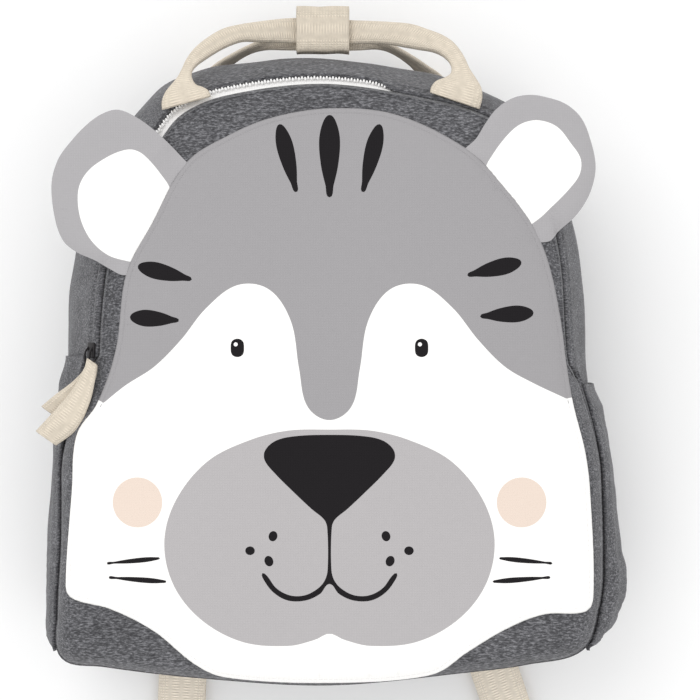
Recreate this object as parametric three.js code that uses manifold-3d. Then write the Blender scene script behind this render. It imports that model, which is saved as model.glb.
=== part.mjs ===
// A soft kids' backpack with an animal face, lying on its back with the face up.
// Millimetres. X is the viewer's right, Y runs to the top of the bag, Z out of the face.

import * as THREE from 'three';
import { mergeVertices } from 'three/addons/utils/BufferGeometryUtils.js';
import Module from 'manifold-3d';

const wasm = await Module();
wasm.setup();

// Sizes of the body
const bodyWidth = 295;
const bodyHeight = 323;
const bodyDepth = 108;
const backRise = 6.3;
const clothWall = 2;
const backPadding = 6;
const seamGap = 0.3;

// Sizes of the face and the ears
const faceWidth = 254.5;
const faceHeight = 281.2;
const faceShift = 2.2;
const faceDrop = 11.2;
const faceThickness = 1.3;
const earThickness = 4;
const earLeftWidth = 66;
const earLeftHeight = 80;
const earRightWidth = 62.7;
const earRightHeight = 70.8;
const earLift = 6.3;
const earSlope = 0.14;

// Sizes of the zip
const zipTapeThickness = 1;
const zipCoilWidth = 3;
const zipCoilThickness = 1.2;
const zipRecess = 0.4;
const zipLeftEnd = 0.05;
const zipRightEnd = 0.02;
const closedSeam = 0.5;
const sliderPlace = 0.085;
const sliderLength = 10;
const sliderWidth = 7;
const sliderHeight = 2.6;
const bailHeight = 2.6;
const pullWidth = 11.5;
const pullThickness = 1.3;

// Sizes of the webbing, the handles and the straps
const webbingWidth = 25;
const webbingThickness = 1.4;
const wrapLength = 26.3;
const wrapHeight = 23.6;
const wrapWall = 1.6;
const wrapSquareness = 0.25;
const wrapCornerShare = 0.89;
const strapWidth = 42;
const strapThickness = 6;
const adjusterWidth = 32;
const adjusterThickness = 1.6;

// Sizes of the side pockets
const pocketWall = 1.6;
const pocketHeightLeft = 144;
const pocketHeightRight = 130;
const pocketBase = 134;
const pocketBulgeLeft = 8;
const pocketBulgeRight = 11;
const pocketSag = 2.8;
const pocketSagReach = 24;

const halfWidth = bodyWidth / 2;
const halfHeight = bodyHeight / 2;
const stationCount = 80;

// Outline of the body from the front, as shares of its half width and half height,
// from the middle of the base round the left side, the top and the right side.
const bodyOutline = [
  { side: 0.016, up: -0.937 },
  { side: -0.411, up: -0.916 },
  { side: -0.739, up: -0.881 },
  { side: -0.88, up: -0.853 },
  { side: -0.892, up: -0.72 },
  { side: -0.88, up: -0.5 },
  { side: -0.875, up: -0.2 },
  { side: -0.87, up: 0.117 },
  { side: -0.856, up: 0.387 },
  { side: -0.816, up: 0.546 },
  { side: -0.74, up: 0.689 },
  { side: -0.653, up: 0.816 },
  { side: -0.556, up: 0.917 },
  { side: -0.382, up: 0.975 },
  { side: -0.01, up: 1 },
  { side: 0.365, up: 0.943 },
  { side: 0.625, up: 0.863 },
  { side: 0.729, up: 0.752 },
  { side: 0.816, up: 0.594 },
  { side: 0.87, up: 0.387 },
  { side: 0.888, up: 0.149 },
  { side: 0.9, up: -0.025 },
  { side: 0.915, up: -0.232 },
  { side: 0.925, up: -0.581 },
  { side: 0.912, up: -0.7 },
  { side: 0.858, up: -0.83 },
  { side: 0.674, up: -0.874 },
  { side: 0.476, up: -0.898 },
];

// The side wall from the back seam to the zip, as shares of the depth: how far it stands
// in from the outline and how high it is, for the round top and for the boxy bottom, and
// its share of the sag behind the pockets.
const wallRows = [
  { roundIn: 0.11, boxIn: 0.1, roundAt: 0, boxAt: 0, sag: 0 },
  { roundIn: 0.035, boxIn: 0.03, roundAt: 0.1, boxAt: 0.09, sag: 0.1 },
  { roundIn: 0, boxIn: 0, roundAt: 0.34, boxAt: 0.35, sag: 1 },
  { roundIn: 0.03, boxIn: 0, roundAt: 0.58, boxAt: 0.62, sag: 1 },
  { roundIn: 0.13, boxIn: 0.012, roundAt: 0.8, boxAt: 0.84, sag: 0.45 },
];

// The front from the zip to its shoulder, in the same shares.
const frontRows = [
  { roundIn: 0.18, boxIn: 0.035, roundAt: 0.87, boxAt: 0.89, sag: 0 },
  { roundIn: 0.255, boxIn: 0.085, roundAt: 0.92, boxAt: 0.93, sag: 0 },
];

// The crown of the front: share of the way out to the shoulder, and share of the depth.
const crownRows = [
  { reach: 0.82, at: 0.957 },
  { reach: 0.56, at: 0.983 },
  { reach: 0.28, at: 0.996 },
  { reach: 0, at: 1 },
];

// Where the boxy lower body turns into the round upper body, as shares of half the height.
const boxTop = -0.3;
const roundFoot = 0.1;

// How much further from the outline the zip runs on the left, and how much nearer on the right.
const leftDraw = 0.3;
const rightDraw = 0.18;

// Outline of the face, as shares of its half width and half height.
const faceOutline = [
  { side: 0, up: 1 },
  { side: -0.219, up: 0.968 },
  { side: -0.382, up: 0.907 },
  { side: -0.542, up: 0.814 },
  { side: -0.672, up: 0.603 },
  { side: -0.771, up: 0.431 },
  { side: -0.809, up: 0.18 },
  { side: -0.882, up: -0.014 },
  { side: -0.958, up: -0.114 },
  { side: -0.975, up: -0.3 },
  { side: -1, up: -0.645 },
  { side: -0.97, up: -0.68 },
  { side: -0.83, up: -0.712 },
  { side: -0.661, up: -0.79 },
  { side: -0.516, up: -0.9 },
  { side: -0.398, up: -0.955 },
  { side: 0, up: -0.975 },
  { side: 0.379, up: -0.95 },
  { side: 0.52, up: -0.862 },
  { side: 0.672, up: -0.779 },
  { side: 0.81, up: -0.731 },
  { side: 0.977, up: -0.721 },
  { side: 1, up: -0.66 },
  { side: 0.985, up: -0.303 },
  { side: 0.966, up: -0.172 },
  { side: 0.92, up: 0 },
  { side: 0.88, up: 0.26 },
  { side: 0.829, up: 0.472 },
  { side: 0.768, up: 0.6 },
  { side: 0.65, up: 0.74 },
  { side: 0.516, up: 0.862 },
  { side: 0.25, up: 0.979 },
];

// Outlines of the two ears, as shares of their half width and half height.
const earLeftOutline = [
  { side: 1.16, up: 0.25 },
  { side: 1.01, up: 0.35 },
  { side: 0.74, up: 0.58 },
  { side: 0.5, up: 0.76 },
  { side: 0.26, up: 0.9 },
  { side: 0, up: 0.99 },
  { side: -0.22, up: 0.95 },
  { side: -0.46, up: 0.82 },
  { side: -0.72, up: 0.6 },
  { side: -0.9, up: 0.39 },
  { side: -0.99, up: 0.1 },
  { side: -0.94, up: -0.31 },
  { side: -0.82, up: -0.58 },
  { side: -0.62, up: -0.72 },
  { side: -0.35, up: -0.82 },
  { side: -0.12, up: -0.93 },
  { side: 0.07, up: -1 },
  { side: 0.29, up: -0.95 },
  { side: 0.81, up: -0.39 },
];
const earRightOutline = [
  { side: -1.14, up: 0.16 },
  { side: -1, up: 0.28 },
  { side: -0.85, up: 0.4 },
  { side: -0.71, up: 0.6 },
  { side: -0.54, up: 0.8 },
  { side: -0.29, up: 0.95 },
  { side: -0.02, up: 1 },
  { side: 0.24, up: 0.97 },
  { side: 0.54, up: 0.88 },
  { side: 0.78, up: 0.69 },
  { side: 0.92, up: 0.4 },
  { side: 1, up: 0.06 },
  { side: 0.96, up: -0.21 },
  { side: 0.84, up: -0.46 },
  { side: 0.67, up: -0.66 },
  { side: 0.43, up: -0.85 },
  { side: 0.28, up: -0.99 },
  { side: 0, up: -0.96 },
  { side: -0.61, up: -0.28 },
];

// Middles and roots of the ears, as shares of the face's half width and half height.
const earLeftPlace = { side: -0.799, up: 0.713, root: -0.657 };
const earRightPlace = { side: 0.762, up: 0.794, root: 0.672 };

// A cushion's section: share of its reach and share of half its thickness.
const cushionRows = [
  { reach: 1, thick: 0.3 },
  { reach: 0.94, thick: 0.75 },
  { reach: 0.6, thick: 1 },
  { reach: 0, thick: 1 },
];

// The front handle, as shares of the half width, half height, depth, webbing width
// and webbing thickness: one foot, the bow and the other foot.
const frontHandle = [
  { side: -0.462, up: 0.826, rise: 0.868, wide: 1, thick: 1.2 },
  { side: -0.468, up: 0.858, rise: 0.85, wide: 0.76, thick: 1.4 },
  { side: -0.47, up: 0.897, rise: 0.818, wide: 0.36, thick: 2.4 },
  { side: -0.458, up: 0.945, rise: 0.77, wide: 0.32, thick: 2.8 },
  { side: -0.416, up: 0.99, rise: 0.72, wide: 0.34, thick: 2.8 },
  { side: -0.362, up: 1.022, rise: 0.68, wide: 0.38, thick: 2.8 },
  { side: -0.286, up: 1.05, rise: 0.63, wide: 0.44, thick: 2.8 },
  { side: -0.186, up: 1.064, rise: 0.585, wide: 0.5, thick: 2.8 },
  { side: -0.085, up: 1.066, rise: 0.549, wide: 0.54, thick: 2.8 },
  { side: 0, up: 1.066, rise: 0.548, wide: 0.54, thick: 2.8 },
  { side: 0.09, up: 1.067, rise: 0.549, wide: 0.54, thick: 2.8 },
  { side: 0.242, up: 1.058, rise: 0.585, wide: 0.48, thick: 2.8 },
  { side: 0.347, up: 1.04, rise: 0.63, wide: 0.42, thick: 2.8 },
  { side: 0.405, up: 1.007, rise: 0.69, wide: 0.36, thick: 2.8 },
  { side: 0.436, up: 0.965, rise: 0.75, wide: 0.34, thick: 2.8 },
  { side: 0.444, up: 0.925, rise: 0.8, wide: 0.4, thick: 2.4 },
  { side: 0.438, up: 0.886, rise: 0.84, wide: 0.76, thick: 1.4 },
  { side: 0.43, up: 0.85, rise: 0.862, wide: 1, thick: 1.2 },
];

// The rear handle, in the same shares.
const rearHandle = [
  { side: -0.43, up: 0.9, rise: -0.018, wide: 0.7, thick: 1.6 },
  { side: -0.42, up: 0.945, rise: 0, wide: 0.6, thick: 2 },
  { side: -0.39, up: 0.995, rise: 0.09, wide: 0.5, thick: 2.6 },
  { side: -0.325, up: 1.03, rise: 0.22, wide: 0.5, thick: 2.6 },
  { side: -0.24, up: 1.05, rise: 0.36, wide: 0.5, thick: 2.6 },
  { side: -0.13, up: 1.06, rise: 0.496, wide: 0.52, thick: 2.6 },
  { side: 0, up: 1.06, rise: 0.498, wide: 0.52, thick: 2.6 },
  { side: 0.11, up: 1.06, rise: 0.496, wide: 0.52, thick: 2.6 },
  { side: 0.22, up: 1.052, rise: 0.37, wide: 0.5, thick: 2.6 },
  { side: 0.3, up: 1.03, rise: 0.23, wide: 0.5, thick: 2.6 },
  { side: 0.36, up: 0.995, rise: 0.1, wide: 0.5, thick: 2.6 },
  { side: 0.39, up: 0.945, rise: 0, wide: 0.6, thick: 2 },
  { side: 0.4, up: 0.87, rise: -0.018, wide: 0.7, thick: 1.6 },
];

// The wrap's place: shares of the half width, half height and depth.
const wrapPlace = { side: -0.011, up: 1.075, rise: 0.524 };

// The padded straps, as shares of the half width, half height and strap width.
const strapRows = [
  { side: 0.24, up: 0.74, wide: 0.9 },
  { side: 0.27, up: 0.5, wide: 1 },
  { side: 0.34, up: 0.2, wide: 1 },
  { side: 0.44, up: -0.12, wide: 0.96 },
  { side: 0.5, up: -0.4, wide: 0.84 },
  { side: 0.51, up: -0.57, wide: 0.64 },
];

// The webbing of the straps from the strap's end through the adjuster, out past the base
// and back to the base seam. Side is how far it has moved over to its lower place.
const webbingRows = [
  { over: 0, up: -0.574, rise: 0.15 },
  { over: 0, up: -0.652, rise: 0.15 },
  { over: 0, up: -0.674, rise: 0.75 },
  { over: 0, up: -0.722, rise: 0.75 },
  { over: 0, up: -0.744, rise: 0.15 },
  { over: 0.1, up: -0.8, rise: 0.15 },
  { over: 0.55, up: -0.95, rise: 0.15 },
  { over: 0.95, up: -1.11, rise: 0.15 },
  { over: 1, up: -1.14, rise: 0.26 },
  { over: 1, up: -1.148, rise: 0.49 },
  { over: 1, up: -1.14, rise: 0.72 },
  { over: 0.95, up: -1.11, rise: 0.83 },
  { over: 0.55, up: -0.95, rise: 0.83 },
  { over: 0.3, up: -0.865, rise: 0.83 },
];
const threadedRows = 5;
const webbingLeftEnd = -0.527;
const webbingRightEnd = 0.66;

// The adjuster along the strap, as shares of the half height: its ends and its slots.
const adjusterRows = [
  { from: -0.62, to: -0.775 },
  { from: -0.645, to: -0.682 },
  { from: -0.713, to: -0.75 },
];

// How far a side pocket stands out at each share of its height, as shares of its bulge.
const pocketRows = [
  { high: 0, left: 0, right: 0 },
  { high: 0.035, left: 0.55, right: 0.55 },
  { high: 0.1, left: 0.8, right: 1 },
  { high: 0.2, left: 0.97, right: 1.13 },
  { high: 0.29, left: 1.01, right: 1.06 },
  { high: 0.37, left: 1, right: 0.88 },
  { high: 0.55, left: 0.86, right: 0.64 },
  { high: 0.65, left: 0.72, right: 0.58 },
  { high: 0.79, left: 0.88, right: 0.48 },
  { high: 0.88, left: 0.6, right: 0.46 },
  { high: 1, left: 0.44, right: 0.3 },
];

// How far it stands out across the depth of the side, from back to front.
const pocketAcross = [
  { at: 0.12, out: 0 },
  { at: 0.17, out: 0.5 },
  { at: 0.3, out: 0.92 },
  { at: 0.45, out: 1 },
  { at: 0.6, out: 0.94 },
  { at: 0.72, out: 0.55 },
  { at: 0.78, out: 0 },
];

// The looped puller: shares of the half width, half height and depth, and its width.
const pullRows = [
  { side: -0.874, up: -0.13, rise: 0.85, wide: 1 },
  { side: -0.835, up: -0.085, rise: 0.885, wide: 1 },
  { side: -0.797, up: -0.035, rise: 0.9, wide: 0.8 },
  { side: -0.768, up: 0.016, rise: 0.895, wide: 0.55 },
  { side: -0.763, up: 0.044, rise: 0.903, wide: 0.5 },
  { side: -0.768, up: 0.016, rise: 0.917, wide: 0.55 },
  { side: -0.8, up: -0.05, rise: 0.92, wide: 0.8 },
  { side: -0.86, up: -0.125, rise: 0.895, wide: 1 },
  { side: -0.927, up: -0.19, rise: 0.84, wide: 1 },
];

function mix(from, to, share) {
  return from + (to - from) * share;
}

function smooth(from, to, value) {
  const share = Math.min(Math.max((value - from) / (to - from), 0), 1);
  return share * share * (3 - 2 * share);
}

// Place of a share of the half width, the half height and the depth.
function place(row) {
  return new THREE.Vector3(
    row.side * halfWidth,
    row.up * halfHeight,
    backRise + row.rise * bodyDepth,
  );
}

// Merges the corners, drops empty triangles and turns the skin to face out.
function settle(geometry) {
  geometry.deleteAttribute('normal');
  geometry.deleteAttribute('uv');
  const merged = mergeVertices(geometry, 1e-4);
  const corners = merged.index.array;
  const kept = [];
  for (let at = 0; at < corners.length; at += 3) {
    const [a, b, c] = [corners[at], corners[at + 1], corners[at + 2]];
    if (a !== b && b !== c && c !== a) {
      kept.push(a, b, c);
    }
  }
  merged.setIndex(kept);
  merged.clearGroups();
  if (volume(merged) < 0) {
    for (let at = 0; at < kept.length; at += 3) {
      [kept[at + 1], kept[at + 2]] = [kept[at + 2], kept[at + 1]];
    }
    merged.setIndex(kept);
  }
  merged.computeVertexNormals();
  return merged;
}

function volume(geometry) {
  const spots = geometry.attributes.position;
  const corners = geometry.index.array;
  const point = (at) => new THREE.Vector3().fromBufferAttribute(spots, corners[at]);
  let total = 0;
  for (let at = 0; at < corners.length; at += 3) {
    total += point(at).dot(point(at + 1).cross(point(at + 2)));
  }
  return total;
}

// A closed skin through a list of rings, all with the same number of stations.
function ringSolid(rings) {
  const count = rings[0].length;
  const guide = rings.map((ring, row) => new THREE.Vector2(1, row));
  const skin = new THREE.LatheGeometry(guide, count);
  const spots = skin.attributes.position;
  for (let at = 0; at < spots.count; at += 1) {
    const ring = rings[at % rings.length];
    const spot = ring[Math.floor(at / rings.length) % count];
    spots.setXYZ(at, spot.x, spot.y, spot.z);
  }
  return settle(skin);
}

// A closed slab: the place function gets whole steps along and across, and which side.
function slabSolid(alongSteps, acrossSteps, spotOf) {
  const skin = new THREE.BoxGeometry(1, 1, 1, alongSteps, acrossSteps, 1);
  const spots = skin.attributes.position;
  for (let at = 0; at < spots.count; at += 1) {
    const along = Math.round((spots.getX(at) + 0.5) * alongSteps);
    const across = Math.round((spots.getY(at) + 0.5) * acrossSteps);
    const side = spots.getZ(at) > 0 ? 1 : 0;
    const spot = spotOf(along, across, side);
    spots.setXYZ(at, spot.x, spot.y, spot.z);
  }
  return settle(skin);
}

// Moves every point of a set of rings out along the surface, or in for a negative distance.
function lifted(rings, distance) {
  const count = rings[0].length;
  return rings.map((ring, row) => ring.map((spot, station) => {
    const before = ring[(station + count - 1) % count];
    const after = ring[(station + 1) % count];
    const lower = rings[Math.max(row - 1, 0)][station];
    const upper = rings[Math.min(row + 1, rings.length - 1)][station];
    const along = after.clone().sub(before);
    const rising = upper.clone().sub(lower);
    const normal = rising.cross(along);
    if (normal.length() < 1e-6) {
      normal.set(0, 0, 1);
    }
    return spot.clone().addScaledVector(normal.normalize(), distance);
  }));
}

// A ribbon along a spine: each row has its spot, its sideways direction, width and thickness.
function ribbonSolid(spine) {
  return slabSolid(spine.length - 1, 1, (along, across, side) => {
    const row = spine[along];
    const before = spine[Math.max(along - 1, 0)].spot;
    const after = spine[Math.min(along + 1, spine.length - 1)].spot;
    const normal = after.clone().sub(before).cross(row.sideways).normalize();
    return row.spot.clone()
      .addScaledVector(row.sideways, (across - 0.5) * row.wide)
      .addScaledVector(normal, (side - 0.5) * row.thick);
  });
}

// A smooth spine through rows of shares; sideways lies flat, square to the run.
function spineOf(rows, steps, widthUnit, thicknessUnit) {
  const run = new THREE.CatmullRomCurve3(rows.map(place));
  const girth = new THREE.CatmullRomCurve3(
    rows.map((row) => new THREE.Vector3(row.wide * widthUnit, row.thick * thicknessUnit, 0)),
  );
  return Array.from({ length: steps + 1 }, (unused, step) => {
    const tangent = run.getTangent(step / steps);
    const size = girth.getPoint(step / steps);
    return {
      spot: run.getPoint(step / steps),
      sideways: new THREE.Vector3(-tangent.y, tangent.x, 0).normalize(),
      wide: size.x,
      thick: size.y,
    };
  });
}

function toSolid(geometry) {
  return new wasm.Manifold(new wasm.Mesh({
    numProp: 3,
    vertProperties: new Float32Array(geometry.attributes.position.array),
    triVerts: new Uint32Array(geometry.index.array),
  }));
}

function toGeometry(solid) {
  const mesh = solid.getMesh();
  const geometry = new THREE.BufferGeometry();
  geometry.setAttribute('position', new THREE.BufferAttribute(new Float32Array(mesh.vertProperties), 3));
  geometry.setIndex(Array.from(mesh.triVerts));
  geometry.computeVertexNormals();
  return geometry;
}

// An upright block with the outline of the face, grown by a margin.
function facePrism(margin) {
  const shape = new THREE.Shape(faceOutline.map((row) => new THREE.Vector2(
    faceShift + row.side * (faceWidth / 2 + margin),
    -faceDrop + row.up * (faceHeight / 2 + margin),
  )));
  const prism = new THREE.ExtrudeGeometry(shape, { depth: bodyDepth, bevelEnabled: false });
  prism.translate(0, 0, backRise + bodyDepth / 2);
  return settle(prism);
}

// Stations at even steps round the body's outline
const rim = new THREE.CatmullRomCurve3(
  bodyOutline.map((row) => new THREE.Vector3(row.side * halfWidth, row.up * halfHeight, 0)),
  true,
  'centripetal',
);
rim.arcLengthDivisions = 1000;
const stations = rim.getSpacedPoints(stationCount).slice(0, stationCount).map((spot) => {
  const up = spot.y / halfHeight;
  const side = spot.x / halfWidth;
  return {
    side,
    up,
    round: smooth(boxTop, roundFoot, up),
    zipped: up > (side < 0 ? zipLeftEnd : zipRightEnd),
  };
});

function insetOf(row, side, round) {
  const drawn = row.roundIn * (1 + leftDraw * Math.max(-side, 0) - rightDraw * Math.max(side, 0));
  return mix(row.boxIn, drawn, round) * bodyDepth;
}

// How much of the sag a station has: all of it behind a pocket, none at its foot or past
// its mouth.
function behindPocket(station) {
  const height = station.side < 0 ? pocketHeightLeft : pocketHeightRight;
  const over = station.up * halfHeight + pocketBase;
  return smooth(0.74, 0.86, Math.abs(station.side))
    * smooth(0, pocketSagReach, over)
    * (1 - smooth(height, height + pocketSagReach, over));
}

function ringOf(row) {
  return stations.map((station) => {
    const inset = insetOf(row, station.side, station.round);
    const sag = row.sag * pocketSag * behindPocket(station) * Math.sign(station.side);
    const at = mix(row.boxAt, row.roundAt, station.round) * bodyDepth;
    return new THREE.Vector3(
      station.side * (halfWidth - inset) - sag,
      station.up * (halfHeight - inset),
      backRise + at,
    );
  });
}

// Side wall and front, one skin of cloth that the zip parts
const wallOut = wallRows.map(ringOf);
const zipEdge = wallOut[wallOut.length - 1];
const shoulder = ringOf(frontRows[1]);
const crown = crownRows.map((row) => shoulder.map((spot) => new THREE.Vector3(
  spot.x * row.reach,
  spot.y * row.reach,
  backRise + row.at * bodyDepth,
)));
const lining = lifted([...wallOut, shoulder, ...crown], -clothWall);

// Side wall
const wallIn = lining.slice(0, wallOut.length);
const gusset = ringSolid([...wallOut, ...wallIn.slice().reverse(), wallOut[0]]);

// Front, with its edge drawn up to the wall wherever the zip doesn't run
const frontEdge = ringOf(frontRows[0]).map((spot, at) => {
  if (stations[at].zipped) {
    return spot;
  }
  const reach = closedSeam / spot.distanceTo(zipEdge[at]);
  return zipEdge[at].clone().lerp(spot, reach);
});
const frontEdgeIn = frontEdge.map((spot, at) => (
  spot.clone().add(wallIn[wallIn.length - 1][at]).sub(zipEdge[at])
));
const frontOut = [frontEdge, shoulder, ...crown];
const frontIn = [frontEdgeIn, ...lining.slice(wallOut.length)];
const frontPanel = ringSolid([...frontOut.slice().reverse(), ...frontIn]);

// Padded back, inside the back edge of the wall
function backRing(ring, inset, rise) {
  return ring.map((spot) => new THREE.Vector3(
    spot.x * (1 - inset / halfWidth),
    spot.y * (1 - inset / halfWidth),
    spot.z + rise,
  ));
}

const backPanel = ringSolid([
  backRing(wallOut[0], halfWidth, 0),
  backRing(wallOut[0], backPadding / 2, 0),
  backRing(wallOut[0], seamGap * 1.5, 0),
  backRing(wallIn[0], seamGap * 1.5, 0),
  backRing(wallIn[0], backPadding / 4, backPadding / 3),
  backRing(wallOut[0], backPadding, backPadding),
  backRing(wallOut[0], halfWidth, backPadding),
]);

// A block of all that lies under the front, grown by a gap. Its top is split into triangles
// the way the front is, so that the two stay the gap apart.
function blockUnder(gap, foot) {
  const top = lifted(frontOut, gap);
  return toSolid(ringSolid([
    ...top.slice().reverse(),
    top[0].map((spot) => new THREE.Vector3(spot.x, spot.y, foot)),
    top[0].map(() => new THREE.Vector3(0, 0, foot)),
  ]));
}

// Face, a layer over the front, cut to the outline of the face
const bodyBlock = blockUnder(seamGap, backRise + bodyDepth / 4);
const faceBlock = blockUnder(seamGap + faceThickness, backRise + bodyDepth / 3);
const facePanel = toGeometry(
  faceBlock.subtract(bodyBlock).intersect(toSolid(facePrism(0))),
);

// Ears, flat cushions with their roots cut along the face
const faceRoom = toSolid(facePrism(seamGap));

const earRootRise = backRise + frontRows[1].roundAt * bodyDepth + earLift;

function earSolid(outline, spotShares, width, height) {
  const middle = new THREE.Vector2(
    faceShift + spotShares.side * (faceWidth / 2),
    -faceDrop + spotShares.up * (faceHeight / 2),
  );
  const root = faceShift + spotShares.root * (faceWidth / 2);
  const ring = (row, sign) => outline.map((point) => {
    const x = middle.x + point.side * row.reach * (width / 2);
    const y = middle.y + point.up * row.reach * (height / 2);
    const z = earRootRise - earSlope * Math.max(Math.abs(x) - Math.abs(root), 0);
    return new THREE.Vector3(x, y, z + sign * row.thick * (earThickness / 2));
  });
  const upper = cushionRows.map((row) => ring(row, 1));
  const lower = cushionRows.map((row) => ring(row, -1));
  const cushion = toSolid(ringSolid([...upper.slice().reverse(), ...lower]));
  return toGeometry(cushion.subtract(faceRoom).subtract(bodyBlock));
}

const earLeft = earSolid(earLeftOutline, earLeftPlace, earLeftWidth, earLeftHeight);
const earRight = earSolid(earRightOutline, earRightPlace, earRightWidth, earRightHeight);

// Zip, in the slot between the wall and the front
const firstZipped = stations.findIndex((station) => station.zipped);
const lastZipped = stations.findLastIndex((station) => station.zipped);

function slotAt(along, across) {
  const station = Math.floor(along);
  const share = along - station;
  const next = (station + 1) % stationCount;
  const rear = zipEdge[station].clone().lerp(zipEdge[next], share);
  const front = frontEdge[station].clone().lerp(frontEdge[next], share);
  const width = rear.distanceTo(front);
  return { spot: rear.lerp(front, across(width) / width), width };
}

function slotNormal(along) {
  const rear = slotAt(along, () => 0).spot;
  const front = slotAt(along, (width) => width).spot;
  const low = Math.max(along - 0.5, firstZipped - 1);
  const high = Math.min(along + 0.5, lastZipped + 1 - 1e-6);
  const run = slotAt(high, () => 0).spot.sub(slotAt(low, () => 0).spot);
  return front.sub(rear).cross(run).normalize();
}

const slotSteps = [firstZipped - 0.65];
for (let at = firstZipped; at <= lastZipped; at += 1) {
  slotSteps.push(at);
}
slotSteps.push(lastZipped + 0.65);

function zipStrip(steps, acrossOf, lift, thickness) {
  return slabSolid(steps.length - 1, 1, (along, across, side) => {
    const normal = slotNormal(steps[along]);
    const { spot } = slotAt(steps[along], acrossOf(across));
    return spot.addScaledVector(normal, lift + side * thickness);
  });
}

const zipTape = zipStrip(
  slotSteps,
  (across) => (width) => (across ? width - seamGap * 1.5 : seamGap * 1.5),
  -zipRecess - zipTapeThickness,
  zipTapeThickness,
);
const coilSteps = slotSteps.slice(1, -1);
const zipCoil = zipStrip(
  coilSteps,
  (across) => (width) => width * 0.42 + (across - 0.5) * zipCoilWidth,
  seamGap - zipRecess,
  zipCoilThickness,
);

// Slider, a block with an arch over it, at the left end of the zip
const sliderShape = new THREE.Shape([
  new THREE.Vector2(-sliderLength / 2, 0),
  new THREE.Vector2(sliderLength / 2, 0),
  new THREE.Vector2(sliderLength / 2, sliderHeight),
  new THREE.Vector2(sliderLength * 0.36, sliderHeight + bailHeight),
  new THREE.Vector2(-sliderLength * 0.36, sliderHeight + bailHeight),
  new THREE.Vector2(-sliderLength / 2, sliderHeight),
]);
sliderShape.holes.push(new THREE.Path([
  new THREE.Vector2(-sliderLength * 0.28, sliderHeight + bailHeight * 0.06),
  new THREE.Vector2(-sliderLength * 0.24, sliderHeight + bailHeight * 0.55),
  new THREE.Vector2(sliderLength * 0.24, sliderHeight + bailHeight * 0.55),
  new THREE.Vector2(sliderLength * 0.28, sliderHeight + bailHeight * 0.06),
]));
const sliderBlock = new THREE.ExtrudeGeometry(sliderShape, { depth: sliderWidth, bevelEnabled: false });
sliderBlock.translate(0, 0, -sliderWidth / 2);
const sliderStep = firstZipped + Math.max(
  (sliderPlace - stations[firstZipped].up) / (stations[firstZipped + 1].up - stations[firstZipped].up),
  0,
);
const sliderUp = slotNormal(sliderStep);
const sliderFoot = slotAt(sliderStep, (width) => width * 0.45).spot;
const sliderRun = slotAt(sliderStep + 0.5, () => 0).spot.sub(slotAt(sliderStep, () => 0).spot).normalize();
sliderFoot.addScaledVector(sliderUp, zipCoilThickness - zipRecess + seamGap * 3);
sliderBlock.applyMatrix4(new THREE.Matrix4()
  .makeBasis(sliderRun, sliderUp, sliderRun.clone().cross(sliderUp))
  .setPosition(sliderFoot));
const zipSlider = settle(sliderBlock);

// Puller, one tape folded into a loop, square to its run from tip to slider
const pullRun = new THREE.CatmullRomCurve3(pullRows.map(place));
const pullGirth = new THREE.CatmullRomCurve3(
  pullRows.map((row) => new THREE.Vector3(row.wide * pullWidth, 0, 0)),
);
const pullAim = place(pullRows[4]).sub(place(pullRows[8]));
const pullSideways = new THREE.Vector3(-pullAim.y, pullAim.x, 0).normalize();
const pullSteps = 22;
const zipPull = ribbonSolid(Array.from({ length: pullSteps + 1 }, (unused, step) => ({
  spot: pullRun.getPoint(step / pullSteps),
  sideways: pullSideways,
  wide: pullGirth.getPoint(step / pullSteps).x,
  thick: pullThickness,
})));

// Handles and the wrap that holds them together
const handleFront = ribbonSolid(spineOf(frontHandle, 38, webbingWidth, webbingThickness));
const handleRear = ribbonSolid(spineOf(rearHandle, 30, webbingWidth, webbingThickness));
const wrapMiddle = place(wrapPlace);
const handleApart = (frontHandle[9].rise - rearHandle[6].rise) * bodyDepth;
const handleStack = handleApart
  + webbingThickness * (frontHandle[9].thick + rearHandle[6].thick) / 2;
const wrapDepth = handleStack / wrapCornerShare + 2 * (wrapWall + seamGap);
const wrapCorners = 20;

function wrapRing(x, shrink) {
  return Array.from({ length: wrapCorners }, (unused, corner) => {
    const turn = (corner / wrapCorners) * Math.PI * 2;
    const bow = (value) => Math.sign(value) * Math.abs(value) ** wrapSquareness;
    return new THREE.Vector3(
      wrapMiddle.x + x,
      wrapMiddle.y + bow(Math.cos(turn)) * (wrapHeight / 2 - shrink),
      wrapMiddle.z + bow(Math.sin(turn)) * (wrapDepth / 2 - shrink),
    );
  });
}

const handleWrap = ringSolid([
  wrapRing(-wrapLength / 2, 0),
  wrapRing(wrapLength / 2, 0),
  wrapRing(wrapLength / 2, wrapWall),
  wrapRing(-wrapLength / 2, wrapWall),
  wrapRing(-wrapLength / 2, 0),
]);

// Side pockets, standing off the side wall between the base and the hem
function outlineSide(up, sign) {
  for (let at = 0; at < stationCount; at += 1) {
    const here = stations[at];
    const next = stations[(at + 1) % stationCount];
    const between = (here.up - up) * (next.up - up) <= 0 && here.up !== next.up;
    if (between && here.side * sign > 0.6) {
      return mix(here.side, next.side, (up - here.up) / (next.up - here.up));
    }
  }
  return 0.87 * sign;
}

function wallInset(share, side, round) {
  for (let at = 1; at < wallRows.length; at += 1) {
    const below = wallRows[at - 1];
    const above = wallRows[at];
    const low = mix(below.boxAt, below.roundAt, round);
    const high = mix(above.boxAt, above.roundAt, round);
    if (share <= high) {
      const way = (share - low) / (high - low);
      return mix(insetOf(below, side, round), insetOf(above, side, round), way);
    }
  }
  return 0;
}

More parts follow.
